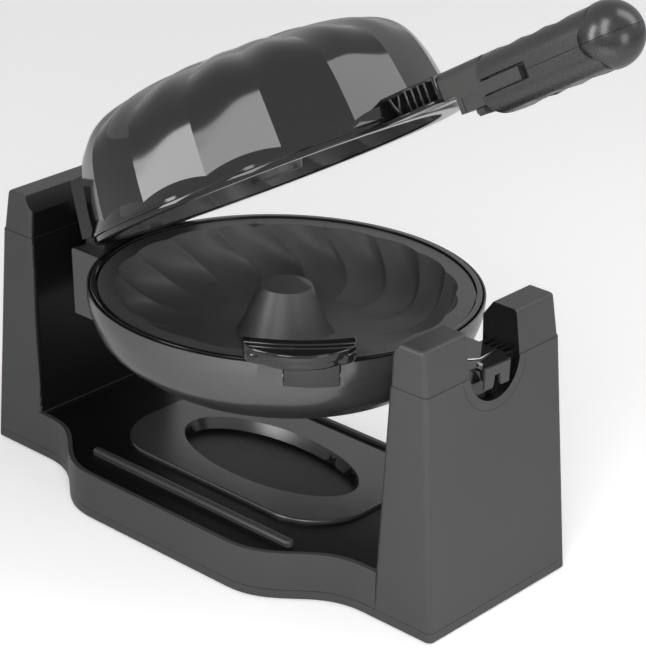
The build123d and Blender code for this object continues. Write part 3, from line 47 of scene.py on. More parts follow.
FULL_TURN = 2.0 * math.pi
SAME_PLACE = 0.000002
SAME_HEIGHT = 0.000001
FLAT_DEGREES = 0.02
RING_STEPS = 192
Point = tuple[float, float]
Colour = tuple[float, float, float]


class Body(Enum):
    """Rigid bodies of the frame that a piece can ride on."""

    BASE = "base"
    PAN = "pan"
    CLIP = "clip"
    LID = "lid"
    LATCH = "latch"


# Shader expressions

class Channel:
    """One socket of a node tree, with arithmetic that adds Math nodes."""

    def __init__(self, tree: bpy.types.NodeTree, socket: bpy.types.NodeSocket) -> None:
        """Keep the tree and the socket."""
        self.tree = tree
        self.socket = socket

    def _math(self, operation: str, *values: "Channel | float") -> "Channel":
        """Add one Math node of an operation, fed with links or numbers."""
        return Nodes(self.tree).node("ShaderNodeMath", dict(enumerate(values)),
                                     {"operation": operation})

    def __add__(self, other: "Channel | float") -> "Channel":
        """Sum."""
        return self._math("ADD", self, other)

    __radd__ = __add__

    def __mul__(self, other: "Channel | float") -> "Channel":
        """Product."""
        return self._math("MULTIPLY", self, other)

    __rmul__ = __mul__

    def above(self, limit: float) -> "Channel":
        """1 where the value is over a limit, else 0."""
        return self._math("GREATER_THAN", self, limit)


class Nodes:
    """Node tree in which one call adds any node."""

    def __init__(self, tree: bpy.types.NodeTree) -> None:
        """Keep the tree."""
        self.tree = tree

    def fill(self, socket: bpy.types.NodeSocket, value: object) -> None:
        """Link a channel to a socket, or set the socket's own value.

        Args:
            socket: Socket to feed.
            value: Channel, number, colour or vector.
        """
        if isinstance(value, Channel):
            self.tree.links.new(value.socket, socket)
        else:
            socket.default_value = value

    def node(self, kind: str, sockets: dict | None = None, settings: dict | None = None,
             output: int | str = 0) -> Channel:
        """Add a node.

        Args:
            kind: Node type.
            sockets: Values or links, by socket name or number.
            settings: Node properties, set first.
            output: Which output to return.

        Returns:
            The chosen output.
        """
        node = self.tree.nodes.new(kind)
        for key, value in (settings or {}).items():
            setattr(node, key, value)
        for key, value in (sockets or {}).items():
            self.fill(node.inputs[key], value)
        return Channel(self.tree, node.outputs[output])

    def on_camera_rays(self) -> Channel:
        """1 for what the camera sees directly, else 0."""
        return self.node("ShaderNodeLightPath", output="Is Camera Ray")


class Recipe(Nodes):
    """Node tree of one material, written step by step."""

    def __init__(self, name: str, colour: Sequence[float]) -> None:
        """Start a material.

        Args:
            name: Material name.
            colour: Plain colour for the viewport.
        """
        self.material = bpy.data.materials.new(name)
        self.material.use_nodes = True
        self.material.diffuse_color = (*colour, 1.0)
        super().__init__(self.material.node_tree)
        self.shader = self.tree.nodes["Principled BSDF"]

    def place(self) -> Channel:
        """Object coordinates, in metres."""
        return self.node("ShaderNodeTexCoord", output="Object")

    def noise(self, scale: float, detail: float, roughness: float = 0.5,
              place: Channel | None = None) -> Channel:
        """Add noise with features about 1/scale metres wide.

        Args:
            scale: Features in a metre.
            detail: Octaves of finer noise.
            roughness: Share of the finer noise.
            place: Coordinates, or the object's own.

        Returns:
            Values from 0 to 1.
        """
        sockets = {"Vector": place or self.place(), "Scale": scale, "Detail": detail,
                   "Roughness": roughness}
        return self.node("ShaderNodeTexNoise", sockets, output="Fac")

    def blend(self, share: Channel, first: Sequence[float] | Channel,
              second: Sequence[float]) -> Channel:
        """Mix two colours.

        Args:
            share: How much of the second colour, from 0 to 1.
            first: Colour, or a channel that holds one.
            second: Colour.

        Returns:
            The mixed colour.
        """
        start = first if isinstance(first, Channel) else (*first, 1.0)
        return self.node("ShaderNodeMix", {"Factor": share, "A": start, "B": (*second, 1.0)},
                         {"data_type": "RGBA"}, "Result")

    def mottle(self, share: Channel, colour: Sequence[float], shades: Point) -> Channel:
        """Run from a darker to a lighter shade of one colour.

        Args:
            share: How light, from 0 to 1.
            colour: Middle colour.
            shades: Factors of the darkest and the lightest shade.

        Returns:
            The mottled colour.
        """
        dark, light = (tuple(min(1.0, part * factor) for part in colour) for factor in shades)
        return self.blend(share, dark, light)

    def bump(self, height: Channel, distance: float) -> Channel:
        """Normal that follows a height of up to a distance in metres."""
        return self.node("ShaderNodeBump", {"Height": height, "Distance": distance,
                                            "Strength": 1.0}, output="Normal")

    def set(self, socket: str, value: object) -> None:
        """Set or link one input of the main shader."""
        self.fill(self.shader.inputs[socket], value)


# Finishes

@dataclass(frozen=True)
class MouldedPlastic:
    """Plastic with a spark-eroded grain and slightly uneven sheen."""

    name: str
    colour: Colour
    roughness: float = 0.5
    grain_depth: float = 0.00005
    shine: float = 0.5
    grain_scale: float = 1500.0
    mottle_scale: float = 14.0
    shades: Point = (0.86, 1.14)
    broad_sheen: float = 0.08
    fine_sheen: float = 0.1

    def make(self) -> bpy.types.Material:
        """Build the material.

        Returns:
            The material.
        """
        mix = Recipe(self.name, self.colour)
        broad = mix.noise(self.mottle_scale, 2.0)
        fine = mix.noise(self.grain_scale, 2.0, 0.6)
        smoothest = self.roughness - (self.broad_sheen + self.fine_sheen) / 2
        mix.set("Base Color", mix.mottle(broad, self.colour, self.shades))
        mix.set("Roughness", broad * self.broad_sheen + fine * self.fine_sheen + smoothest)
        mix.set("Normal", mix.bump(fine, self.grain_depth))
        mix.set("Specular IOR Level", self.shine)
        return mix.material


@dataclass(frozen=True)
class PianoGloss:
    """Polished black plastic under a clear coat, with a faint wave and a little dust."""

    name: str
    colour: Colour = (0.008, 0.008, 0.009)
    roughness: float = 0.05
    coat: float = 0.25
    coat_roughness: float = 0.04
    haze_scale: float = 30.0
    haze_sheen: float = 0.05
    dust_scale: float = 2600.0
    dust_limit: float = 0.74
    dust_share: float = 0.35
    dust_colour: Colour = (0.06, 0.06, 0.06)
    wave_scale: float = 22.0
    wave_depth: float = 0.00006

    def make(self) -> bpy.types.Material:
        """Build the material.

        Returns:
            The material.
        """
        mix = Recipe(self.name, self.colour)
        haze = mix.noise(self.haze_scale, 3.0)
        dust = mix.noise(self.dust_scale, 1.0).above(self.dust_limit)
        mix.set("Base Color", mix.blend(dust * self.dust_share, self.colour, self.dust_colour))
        mix.set("Roughness", haze * self.haze_sheen + dust * self.haze_sheen + self.roughness)
        mix.set("Coat Weight", self.coat)
        mix.set("Coat Roughness", self.coat_roughness)
        mix.set("Normal", mix.bump(mix.noise(self.wave_scale, 1.0), self.wave_depth))
        return mix.material


@dataclass(frozen=True)
class SatinLacquer:
    """Flaked satin lacquer with fine orange peel."""

    name: str
    colour: Colour
    roughness: float = 0.38
    metallic: float = 0.35
    flake_scale: float = 3800.0
    broad_scale: float = 18.0
    shades: Point = (0.8, 1.25)
    sheen: float = 0.06
    peel_scale: float = 900.0
    peel_depth: float = 0.00002

    def make(self) -> bpy.types.Material:
        """Build the material.

        Returns:
            The material.
        """
        mix = Recipe(self.name, self.colour)
        flake = mix.noise(self.flake_scale, 1.0)
        broad = mix.noise(self.broad_scale, 2.0)
        mix.set("Base Color", mix.mottle(flake, self.colour, self.shades))
        mix.set("Metallic", self.metallic)
        mix.set("Roughness", broad * self.sheen + flake * self.sheen
                + (self.roughness - self.sheen))
        mix.set("Normal", mix.bump(mix.noise(self.peel_scale, 2.0), self.peel_depth))
        return mix.material


@dataclass(frozen=True)
class NonStick:
    """Dark baked coating with mineral specks."""

    name: str
    colour: Colour
    roughness: float = 0.42
    metallic: float = 0.25
    broad_scale: float = 20.0
    shades: Point = (0.85, 1.12)
    sheen: float = 0.1
    speck_scale: float = 1900.0
    speck_limit: float = 0.71
    speck_share: float = 0.4
    speck_colour: Colour = (0.2, 0.2, 0.2)
    grain_scale: float = 1300.0
    grain_depth: float = 0.00003

    def make(self) -> bpy.types.Material:
        """Build the material.

        Returns:
            The material.
        """
        mix = Recipe(self.name, self.colour)
        specks = mix.noise(self.speck_scale, 1.0).above(self.speck_limit)
        broad = mix.noise(self.broad_scale, 3.0)
        plain = mix.mottle(broad, self.colour, self.shades)
        mix.set("Base Color", mix.blend(specks * self.speck_share, plain, self.speck_colour))
        mix.set("Metallic", self.metallic)
        mix.set("Roughness", broad * self.sheen + (self.roughness - self.sheen / 2))
        mix.set("Normal", mix.bump(mix.noise(self.grain_scale, 2.0), self.grain_depth))
        return mix.material


@dataclass(frozen=True)
class BareMetal:
    """Turned, drawn or rolled metal with fine lines along one axis."""

    name: str
    colour: Colour
    roughness: float = 0.25
    stretch: tuple[float, float, float] = (1.0, 1.0, 40.0)
    line_scale: float = 120.0
    line_depth: float = 0.00002
    shades: Point = (0.8, 1.0)
    sheen: float = 0.15

    def make(self) -> bpy.types.Material:
        """Build the material.

        Returns:
            The material.
        """
        mix = Recipe(self.name, self.colour)
        stretched = mix.node("ShaderNodeMapping", {"Vector": mix.place(), "Scale": self.stretch},
                             output="Vector")
        lines = mix.noise(self.line_scale, 2.0, place=stretched)
        mix.set("Base Color", mix.mottle(lines, self.colour, self.shades))
        mix.set("Metallic", 1.0)
        mix.set("Roughness", lines * self.sheen + (self.roughness - self.sheen / 3))
        mix.set("Normal", mix.bump(lines, self.line_depth))
        return mix.material


class Finishes:
    """Every finish of the object, made once."""

    def __init__(self) -> None:
        """Make the materials."""
        self.charcoal = MouldedPlastic("charcoal_plastic", (0.04, 0.04, 0.041), 0.42).make()
        # Near-black deck moulding; on the saddle and the tower walls towards the pan it is painted
        # shade.
        self.deck = MouldedPlastic("deck_and_shade_plastic", (0.004, 0.004, 0.0042), 0.3,
                                   shine=0.22).make()
        self.plate = MouldedPlastic("drip_plate_plastic", (0.03, 0.03, 0.029), 0.24,
                                    shine=0.9).make()
        self.grip = MouldedPlastic("grip_plastic", (0.014, 0.014, 0.0145), 0.27, 0.00002,
                                   shine=0.8).make()
        self.grey = MouldedPlastic("neck_plastic", (0.04, 0.04, 0.039), 0.32, 0.00003).make()
        self.gloss = PianoGloss("piano_black").make()
        self.bowl = SatinLacquer("bowl_lacquer", (0.12, 0.12, 0.122), 0.22, 0.7).make()
        self.mould = NonStick("non_stick", (0.075, 0.075, 0.076)).make()
        self.steel = BareMetal("drawn_steel", (0.62, 0.62, 0.63)).make()
        self.sheet = BareMetal("rolled_sheet", (0.75, 0.75, 0.76), 0.35, (40.0, 1.0, 1.0)).make()
        self.heater = BareMetal("heater_sheath", (0.2, 0.19, 0.18), 0.5).make()
        self.rubber = MouldedPlastic("foot_rubber", (0.02, 0.02, 0.02), 0.8).make()
        self.white = MouldedPlastic("terminal_white", (0.7, 0.7, 0.68), 0.45).make()


# Hand tools

def pick_nothing() -> None:
    """Leave edit mode and deselect everything."""
    if bpy.context.object and bpy.context.object.mode != "OBJECT":
        bpy.ops.object.mode_set(mode="OBJECT")
    for item in bpy.context.selected_objects:
        item.select_set(False)


def pick(piece: bpy.types.Object) -> None:
    """Make one object the only selected and active one.

    Args:
        piece: Object to pick.
    """
    pick_nothing()
    piece.select_set(True)
    bpy.context.view_layer.objects.active = piece


def freeze() -> None:
    """Write the active object's place into its mesh."""
    bpy.ops.object.transform_apply(location=True, rotation=True, scale=True)


class Bench:
    """Edit-mode tools on one mesh, with selection in code."""

    def __init__(self, piece: bpy.types.Object) -> None:
        """Open a mesh in edit mode.

        Args:
            piece: Object whose mesh is opened.
        """
        self.piece = piece
        pick(piece)
        bpy.ops.object.mode_set(mode="EDIT")

    def select_edges(self, test: Callable[[Vector, Vector], bool]) -> None:
        """Select the edges that pass a test.

        Args:
            test: Takes the places of an edge's two ends.
        """
        bpy.ops.mesh.select_mode(type="EDGE")
        mesh = bmesh.from_edit_mesh(self.piece.data)
        for edge in mesh.edges:
            edge.select_set(test(edge.verts[0].co, edge.verts[1].co))
        bmesh.update_edit_mesh(self.piece.data)

    def close(self) -> bpy.types.Object:
        """Merge doubles, turn the faces outwards and leave edit mode.

        Returns:
            The object.
        """
        bpy.ops.mesh.select_mode(type="VERT")
        bpy.ops.mesh.select_all(action="SELECT")
        bpy.ops.mesh.remove_doubles(threshold=SAME_PLACE)
        bpy.ops.mesh.normals_make_consistent(inside=False)
        bpy.ops.object.mode_set(mode="OBJECT")
        return self.piece


def apply_modifier(piece: bpy.types.Object, kind: str, **settings: object) -> None:
    """Add a modifier and apply it.

    Args:
        piece: Object to change.
        kind: Modifier type.
        settings: Modifier properties.
    """
    pick(piece)
    modifier = piece.modifiers.new(kind.lower(), kind)
    for key, value in settings.items():
        setattr(modifier, key, value)
    bpy.ops.object.modifier_apply(modifier=modifier.name)


def ease(piece: bpy.types.Object, width: float, segments: int, degrees: float) -> None:
    """Round the edges of a piece.

    Args:
        piece: Object to change.
        width: Width of the rounding, in metres.
        segments: Faces across a rounding.
        degrees: Edges flatter than this are left alone.
    """
    apply_modifier(piece, "BEVEL", width=width, segments=segments, limit_method="ANGLE",
                   angle_limit=math.radians(degrees))


def smooth(piece: bpy.types.Object, degrees: float = 35.0) -> None:
    """Shade smooth, with edges sharper than an angle kept."""
    pick(piece)
    bpy.ops.object.shade_smooth_by_angle(angle=math.radians(degrees))


def carve(piece: bpy.types.Object, tool: bpy.types.Object, operation: str = "DIFFERENCE") -> None:
    """Join or cut a piece with a second one, which is used up.

    Args:
        piece: Object to change.
        tool: Closed mesh to add or take away.
        operation: Boolean operation.
    """
    apply_modifier(piece, "BOOLEAN", object=tool, operation=operation, solver="EXACT")
    pick(tool)
    bpy.ops.object.delete()
    pick(piece)


def weld(name: str, pieces: Sequence[bpy.types.Object]) -> bpy.types.Object:
    """Join several pieces into one object.

    Args:
        name: Name of the joined object.
        pieces: Objects to join.

    Returns:
        The joined object.
    """
    pick(pieces[0])
    for piece in pieces:
        piece.select_set(True)
    bpy.ops.object.join()
    joined = bpy.context.object
    joined.name = name
    return joined


def settle(piece: bpy.types.Object, place: Matrix) -> None:
    """Turn and move a piece, then leave its object at the origin.

    Args:
        piece: Object to move.
        place: Motion from where it is.
    """
    pick(piece)
    piece.matrix_world = place @ piece.matrix_world
    freeze()


def on_millimetres(points: Sequence[Point]) -> list[Point]:
    """Points given in millimetres, in metres."""
    return [(x * MM, y * MM) for x, y in points]


def arc(start: Point, through: Point, end: Point, steps: int = 12) -> list[Point]:
    """Points on the arc through three places.

    Args:
        start: First place.
        through: Place that the arc passes.
        end: Last place, which is left out of the list.
        steps: How many points.

    Returns:
        The points, from the first place on.
    """
    (ax, ay), (bx, by), (cx, cy) = start, through, end
    twice = 2.0 * (ax * (by - cy) + bx * (cy - ay) + cx * (ay - by))
    a2, b2, c2 = ax * ax + ay * ay, bx * bx + by * by, cx * cx + cy * cy
    ox = (a2 * (by - cy) + b2 * (cy - ay) + c2 * (ay - by)) / twice
    oy = (a2 * (cx - bx) + b2 * (ax - cx) + c2 * (bx - ax)) / twice
    radius = math.hypot(ax - ox, ay - oy)
    first = math.atan2(ay - oy, ax - ox)
    middle = (math.atan2(by - oy, bx - ox) - first) % FULL_TURN
    sweep = (math.atan2(cy - oy, cx - ox) - first) % FULL_TURN
    if middle > sweep:
        sweep -= FULL_TURN
    turns = [first + sweep * step / steps for step in range(steps)]
    return [(ox + radius * math.cos(turn), oy + radius * math.sin(turn)) for turn in turns]


def bar(name: str, start: Vector, end: Vector, radius: float, sides: int = 32) -> bpy.types.Object:
    """Round bar between two points, with eased ends.

    Args:
        name: Object name.
        start: Middle of one end.
        end: Middle of the other end.
        radius: Radius, in metres.
        sides: Faces round it.

    Returns:
        The new object.
    """
    pick_nothing()
    run = end - start
    bpy.ops.mesh.primitive_cylinder_add(vertices=sides, radius=radius, depth=run.length,
                                        location=(start + end) / 2,
                                        rotation=run.to_track_quat("Z", "Y").to_euler())
    piece = bpy.context.object
    piece.name = name
    freeze()
    ease(piece, min(radius * 0.2, 0.4 * MM), 2, 40.0)
    return piece


def polygon(name: str, corners: Sequence[Sequence[float]], fill: str = "NOTHING") -> Bench:
    """Closed outline with its corners in given places, selected in edit mode.

    Args:
        name: Object name.
        corners: Place of each corner, in metres.
        fill: How the outline is filled.

    Returns:
        Bench with the outline.
    """
    pick_nothing()
    bpy.ops.mesh.primitive_circle_add(vertices=len(corners), radius=1.0, fill_type=fill)
    piece = bpy.context.object
    piece.name = name
    bench = Bench(piece)
    mesh = bmesh.from_edit_mesh(piece.data)
    for vertex, corner in zip(mesh.verts, corners):
        vertex.co = corner
    bmesh.update_edit_mesh(piece.data)
    bpy.ops.mesh.select_all(action="SELECT")
    return bench


def slab(name: str, outline: Sequence[Point], low: float, high: float, edge: float,
         segments: int = 3) -> bpy.types.Object:
    """Flat piece raised from an outline.

    Args:
        name: Object name.
        outline: X and Y of each corner, in metres.
        low: Height of the underside.
        high: Height of the top.
        edge: Width of the rounded edges.
        segments: Faces across a rounded edge.

    Returns:
        The new object.
    """
    bench = polygon(name, [(*corner, low) for corner in outline], "NGON")
    bpy.ops.mesh.extrude_region_move(TRANSFORM_OT_translate={"value": (0.0, 0.0, high - low)})
    piece = bench.close()
    ease(piece, edge, segments, 30.0)
    return piece


def turned(name: str, outline: Sequence[Point], centre: Point, steps: int) -> bpy.types.Object:
    """Body turned from a closed outline.

    Args:
        name: Object name.
        outline: Radius and height of each corner, in metres.
        centre: X and Y of the axis.
        steps: Faces round the circle.

    Returns:
        The new object.
    """
    bench = polygon(name, [(centre[0] + radius, centre[1], height) for radius, height in outline])
    bpy.ops.mesh.spin(steps=steps, angle=FULL_TURN, center=(*centre, 0.0), axis=(0.0, 0.0, 1.0))
    return bench.close()


# Dressing

def dress(piece: bpy.types.Object, material: bpy.types.Material, body: Body,
          *nodes: str) -> None:
    """Give a finished piece its material and its body.

    Args:
        piece: Object to dress.
        material: Its finish.
        body: Body that it rides on.
        nodes: Nodes that it stands for.
    """
    piece.data.materials.clear()
    piece.data.materials.append(material)
    for face in piece.data.polygons:
        face.material_index = 0
    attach(piece, body.value)
    if nodes:
        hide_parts(*nodes)
    LOG.info("piece %s rides on %s", piece.name, body.value)


def soften(node: str, material: bpy.types.Material, body: Body, edge: float = 0.0,
           degrees: float = 32.0) -> bpy.types.Object:
    """Stand in for a node whose shape is right: copied, merged, eased and shaded.

    Args:
        node: Node to replace.
        material: Its finish.
        body: Body that it rides on.
        edge: Width of the eased edges, in metres.
        degrees: Edges sharper than this stay sharp.

    Returns:
        The new object.
    """
    pick(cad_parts[node])
    bpy.ops.object.duplicate()
    piece = bpy.context.object
    piece.name = node + "_moulding"
    world = piece.matrix_world.copy()
    piece.parent = None
    piece.matrix_world = world
    freeze()
    bench = Bench(piece)
    bpy.ops.mesh.select_all(action="SELECT")
    bpy.ops.mesh.remove_doubles(threshold=SAME_PLACE)
    bpy.ops.mesh.dissolve_limited(angle_limit=math.radians(FLAT_DEGREES))
    bench.close()
    if edge > 0:
        ease(piece, edge, 2, 38.0)
    smooth(piece, degrees)
    apply_modifier(piece, "WEIGHTED_NORMAL", keep_sharp=True)
    dress(piece, material, body, node)
    return piece


def paint(node: str, material: bpy.types.Material) -> None:
    """Give a node that stays a better finish.

    Args:
        node: Node that stays.
        material: Its finish.
    """
    for slot_of_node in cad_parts[node].material_slots:
        slot_of_node.material = material
    LOG.info("node %s is painted", node)


@dataclass(frozen=True)
class Facet:
    """Corners, middle and normal of one face."""

    corners: list[Vector]
    middle: Vector
    normal: Vector


def second_finish(piece: bpy.types.Object, material: bpy.types.Material,
                  test: Callable[[Facet], bool]) -> None:
    """Give some faces of a dressed piece another finish.

    Args:
        piece: Dressed object.
        material: Finish for the chosen faces.
        test: Says which faces are chosen.
    """
    piece.data.materials.append(material)
    places = [vertex.co for vertex in piece.data.vertices]
    for face in piece.data.polygons:
        corners = [places[index] for index in face.vertices]
        if test(Facet(corners, face.center, face.normal)):
            face.material_index = len(piece.data.materials) - 1


# Resting place of the pan and the lid

@dataclass(frozen=True)
class Swing:
    """Where the pan and the lid rest: tipped on the turning axis, opened on the hinge."""

    axis_height: float = 135 * MM
    tip: float = math.radians(-2.43)
    middle_x: float = -14.9 * MM
    hinge_x: float = -117.9 * MM
    hinge_z: float = 149 * MM
    opening: float = math.radians(31.5)

    def pan(self) -> Matrix:
        """From the level pan to the resting pan."""
        pivot = Matrix.Translation((0.0, 0.0, self.axis_height))
        return pivot @ Matrix.Rotation(self.tip, 4, "X") @ pivot.inverted()

    def lid(self) -> Matrix:
        """From the closed lid to the resting lid."""
        pin = Matrix.Translation((self.hinge_x, 0.0, self.hinge_z))
        return self.pan() @ pin @ Matrix.Rotation(-self.opening, 4, "Y") @ pin.inverted()

    def turn(self, name: str, outline: Sequence[Point], steps: int) -> bpy.types.Object:
        """Body turned round the middle of the level, closed pan.

        Args:
            name: Object name.
            outline: Radius and rise over the parting line of each corner, in millimetres.
            steps: Faces round the circle.

        Returns:
            The new object.
        """
        lifted = [(radius * MM, self.axis_height + rise * MM) for radius, rise in outline]
        return turned(name, lifted, (self.middle_x, 0.0), steps)


@dataclass
class Assembly:
    """What every sub-assembly needs: the finishes and where the pan and the lid rest."""

    finishes: Finishes
    swing: Swing


# Base

@dataclass
class Base(Assembly):
    """Towers, deck, drip tray and what is set into them.

    The places that pick out darker faces are metres: the drip well's middle, half lengths and
    band below and above the plate's top, the deck's middle, half length and front, where the
    walls that face the pan start and end, and where the saddle for the journal starts. On the
    saddle and on the tower walls towards the pan the darker finish is painted shade. The sizes
    of the bar on the deck are millimetres, but for its edge.
    """

    edge: float = 0.6 * MM
    shell_edge: float = 1.1 * MM
    plate_top: float = 27.2 * MM
    well_middle: Point = (-25.9 * MM, -1.0 * MM)
    well_half: Point = (62.0 * MM, 31.5 * MM)
    well_band: Point = (1.5 * MM, 0.1 * MM)
    deck_middle: float = -28.9 * MM
    deck_half: float = 133.0 * MM
    deck_front: float = -82.0 * MM
    level_normal: float = 0.6
    wall_start: float = 110.0 * MM
    wall_top: float = 0.16
    wall_normal: float = 0.75
    saddle_start: Point = (0.09, 0.112)
    saddle_half: float = 20.2 * MM
    saddle_normal: float = 0.3
    rib_middle: Point = (-25.9, -62.5)
    rib_half: Point = (75.0, 2.7)
    rib_height: Point = (25.8, 29.4)
    rib_edge: float = 2.0 * MM

    def build(self) -> None:
        """Dress the base's nodes."""
        for node in ("base_shell", "base_tray", "left_tower_cap", "right_tower_cap"):
            edge = self.shell_edge if node == "base_shell" else self.edge
            piece = soften(node, self.finishes.charcoal, Body.BASE, edge)
            # The near-black finish goes on the deck, and as painted shade on the saddle and the
            # walls towards the pan.
            second_finish(piece, self.finishes.deck, self.deck_and_pan_shade)
        tray = soften("drip_tray", self.finishes.plate, Body.BASE, 0.4 * MM)
        second_finish(tray, self.finishes.deck, self.in_well)
        self.deck_rib()
        soften("rubber_feet", self.finishes.rubber, Body.BASE, 0.4 * MM)
        soften("pivot_bush", self.finishes.charcoal, Body.BASE, 0.3 * MM)
        soften("cord_gland", self.finishes.rubber, Body.BASE, 0.3 * MM)
        paint("base_screws", self.finishes.steel)
        paint("terminal_block", self.finishes.white)

    def in_well(self, facet: Facet) -> bool:
        """Whether a face of the drip tray lies in its well.

        Args:
            facet: Face of the tray.

        Returns:
            True for the well's wall and floor.
        """
        (x, y), (half_x, half_y) = self.well_middle, self.well_half
        below, above = self.well_band
        heights = [corner.z for corner in facet.corners]
        sunk = max(heights) < self.plate_top + above and min(heights) < self.plate_top - below
        return sunk and all(abs(corner.x - x) < half_x and abs(corner.y - y) < half_y
                            for corner in facet.corners)

    def deck_and_pan_shade(self, facet: Facet) -> bool:
        """Whether a face belongs to the deck, the saddle or a tower wall towards the pan.

        Args:
            facet: Face of the shell, the bottom tray or a cap.

        Returns:
            True for the faces with the darker polished finish, which on the saddle and the tower
            walls towards the pan is painted shade.
        """
        x, y, z = facet.middle
        out = x - self.deck_middle
        deck = facet.normal.z > self.level_normal and z < self.plate_top \
            and y > self.deck_front and abs(out) < self.deck_half
        # Painted shade: tower walls that face the pan and the saddle get the near-black finish.
        wall = facet.normal.x * out < 0 and abs(facet.normal.x) > self.wall_normal \
            and abs(out) > self.wall_start and z < self.wall_top
        start, low = self.saddle_start
        saddle = x > start and z > low and abs(y) < self.saddle_half \
            and abs(facet.normal.x) < self.saddle_normal
        return deck or wall or saddle

    def deck_rib(self) -> None:
        """Long rounded bar along the deck's front."""
        (x, y), (run, half), (low, top) = self.rib_middle, self.rib_half, self.rib_height
        left, right = x - run + half, x + run - half
        outline = arc((right, y - half), (x + run, y), (right, y + half), 10)
        outline += arc((left, y + half), (x - run, y), (left, y - half), 10)
        rib = slab("deck_rib", on_millimetres(outline), low * MM, top * MM, self.rib_edge, 5)
        smooth(rib, 40.0)
        dress(rib, self.finishes.charcoal, Body.BASE)


# Pan

@dataclass
class RimRing(Assembly):
    """Gloss ring turned from an outline in millimetres over the parting line."""

    name: str
    node: str
    body: Body
    outline: tuple[Point, ...]
    edge: float = 0.4 * MM

    def build(self, place: Matrix) -> None:
        """Turn the ring, ease its edges and put it in place.

        Args:
            place: From the level, closed ring to the resting ring.
        """
        ring = self.swing.turn(self.name, self.outline, RING_STEPS)
        ease(ring, self.edge, 3, 25.0)
        settle(ring, place)
        smooth(ring, 40.0)
        dress(ring, self.finishes.gloss, self.body, self.node)


@dataclass
class JournalWire(Assembly):
    """Spring wire and screw head on the flat top of the journal.

    Places are metres along and across the turning axis, and heights are over it.
    """

    flat: float = -0.4 * MM
    wire_radius: float = 0.45 * MM
    wire_lift: float = 0.4 * MM
    wire: tuple[Point, ...] = ((0.1105, -0.015), (0.1185, -0.002), (0.1165, 0.013))
    screw: Point = (0.1225, -0.007)
    screw_radius: float = 1.7 * MM
    screw_heights: Point = (-0.5 * MM, 0.8 * MM)

    def build(self) -> None:
        """Bend the wire, set the screw head and tip both with the pan."""
        flat = self.swing.axis_height + self.flat
        start, bend, end = (Vector((*place, flat + self.wire_lift)) for place in self.wire)
        low, top = (Vector((*self.screw, flat + height)) for height in self.screw_heights)
        fittings = weld("journal_wire", [
            bar("wire_long", start, bend, self.wire_radius, 16),
            bar("wire_short", bend, end, self.wire_radius, 16),
            bar("screw_head", low, top, self.screw_radius, 24),
        ])
        settle(fittings, self.swing.pan())
        smooth(fittings)
        dress(fittings, self.finishes.steel, Body.PAN)


